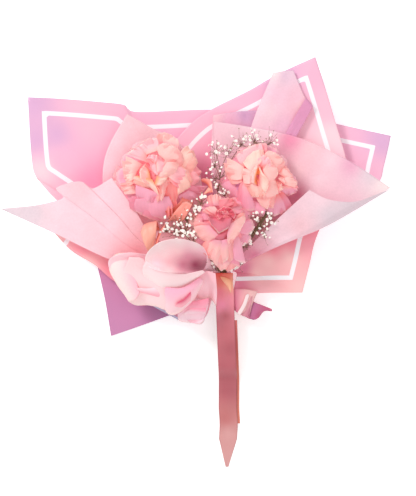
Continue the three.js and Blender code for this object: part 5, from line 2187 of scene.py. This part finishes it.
# ------------------------------------------------------------------ setting
class Studio:
    """The pale floor, the soft lights and the camera."""

    DISTANCE = 1.984
    LENS = 120.0
    AIM = (-16.8, 38.4, 0.0)
    SENSOR = 36.0
    FARTHEST = 50
    SKY = 0.62
    FLOOR_HALF = 6.0
    FLOOR_Z = -0.0005

    def build(self) -> None:
        """Sets up the floor, lights, world and camera."""
        self.floor()
        self.light("key", (-0.95, 0.95, 1.5), size=0.5, power=16.5, color=(1.0, 0.985, 0.97))
        self.light("fill", (0.5, -0.6, 1.9), size=2.2, power=9.0, color=(1.0, 0.98, 0.98))
        world = bpy.data.worlds.new("studio")
        world.use_nodes = True
        sky = world.node_tree.nodes["Background"]
        sky.inputs["Color"].default_value = WHITE
        sky.inputs["Strength"].default_value = self.SKY
        bpy.context.scene.world = world
        bpy.context.scene.view_settings.view_transform = "Standard"
        data = bpy.data.cameras.new("camera")
        data.lens = self.LENS
        data.sensor_width = self.SENSOR
        data.clip_end = self.FARTHEST
        camera = put("camera", data)
        aim = PLACE.metres(np.array([self.AIM]))[0]
        camera.location = (aim[0], aim[1], self.DISTANCE)
        bpy.context.scene.camera = camera

    def floor(self) -> None:
        """Lays the pale floor just under the bunch."""
        data = bpy.data.meshes.new("floor")
        s, z = self.FLOOR_HALF, self.FLOOR_Z
        data.from_pydata([(-s, -s, z), (s, -s, z), (s, s, z), (-s, s, z)], [], [(0, 1, 2, 3)])
        data.materials.append(FLOOR.material())
        put("floor", data)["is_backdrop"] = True

    def light(self, name: str, place: Point, size: float, power: float, color: Point) -> None:
        """Hangs one soft square light, turned to the bunch.

        Args:
            name: its name.
            place: where it hangs, in metres.
            size: its side in metres.
            power: its power in watts.
            color: its colour.
        """
        data = bpy.data.lights.new(name, "AREA")
        data.size = size
        data.energy = power
        data.color = color
        made = put(name, data)
        made.location = place
        made.rotation_euler = (-Vector(place)).to_track_quat("-Z", "Y").to_euler()


def corners() -> list[list[float]]:
    """Reads the shown object's box.

    Returns:
        Its lowest and highest corner.
    """
    low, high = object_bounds()
    return [[float(v) for v in low], [float(v) for v in high]]


def main() -> None:
    """Builds the bunch and its setting."""
    logging.basicConfig(level=logging.INFO, format="%(message)s")
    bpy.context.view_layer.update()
    Wrapping(OUTER_SHEETS + TISSUES).build()
    for bloom in BLOOMS:
        BloomHead(bloom).petals()
        refine(f"{bloom.name}_calyx", f"{bloom.name}_cup", STEM, "stem", 2)
        refine(f"{bloom.name}_stem", f"{bloom.name}_cut_stem", STEM, "stem", 1)
    for spray in SPRAYS:
        SprayMaker(spray).build()
    Ribbon(STRIPS).build()
    refine("stem_tie", "twine_turns", TWINE, "twine", 1)
    Studio().build()


if __name__ == "__main__":
    main()
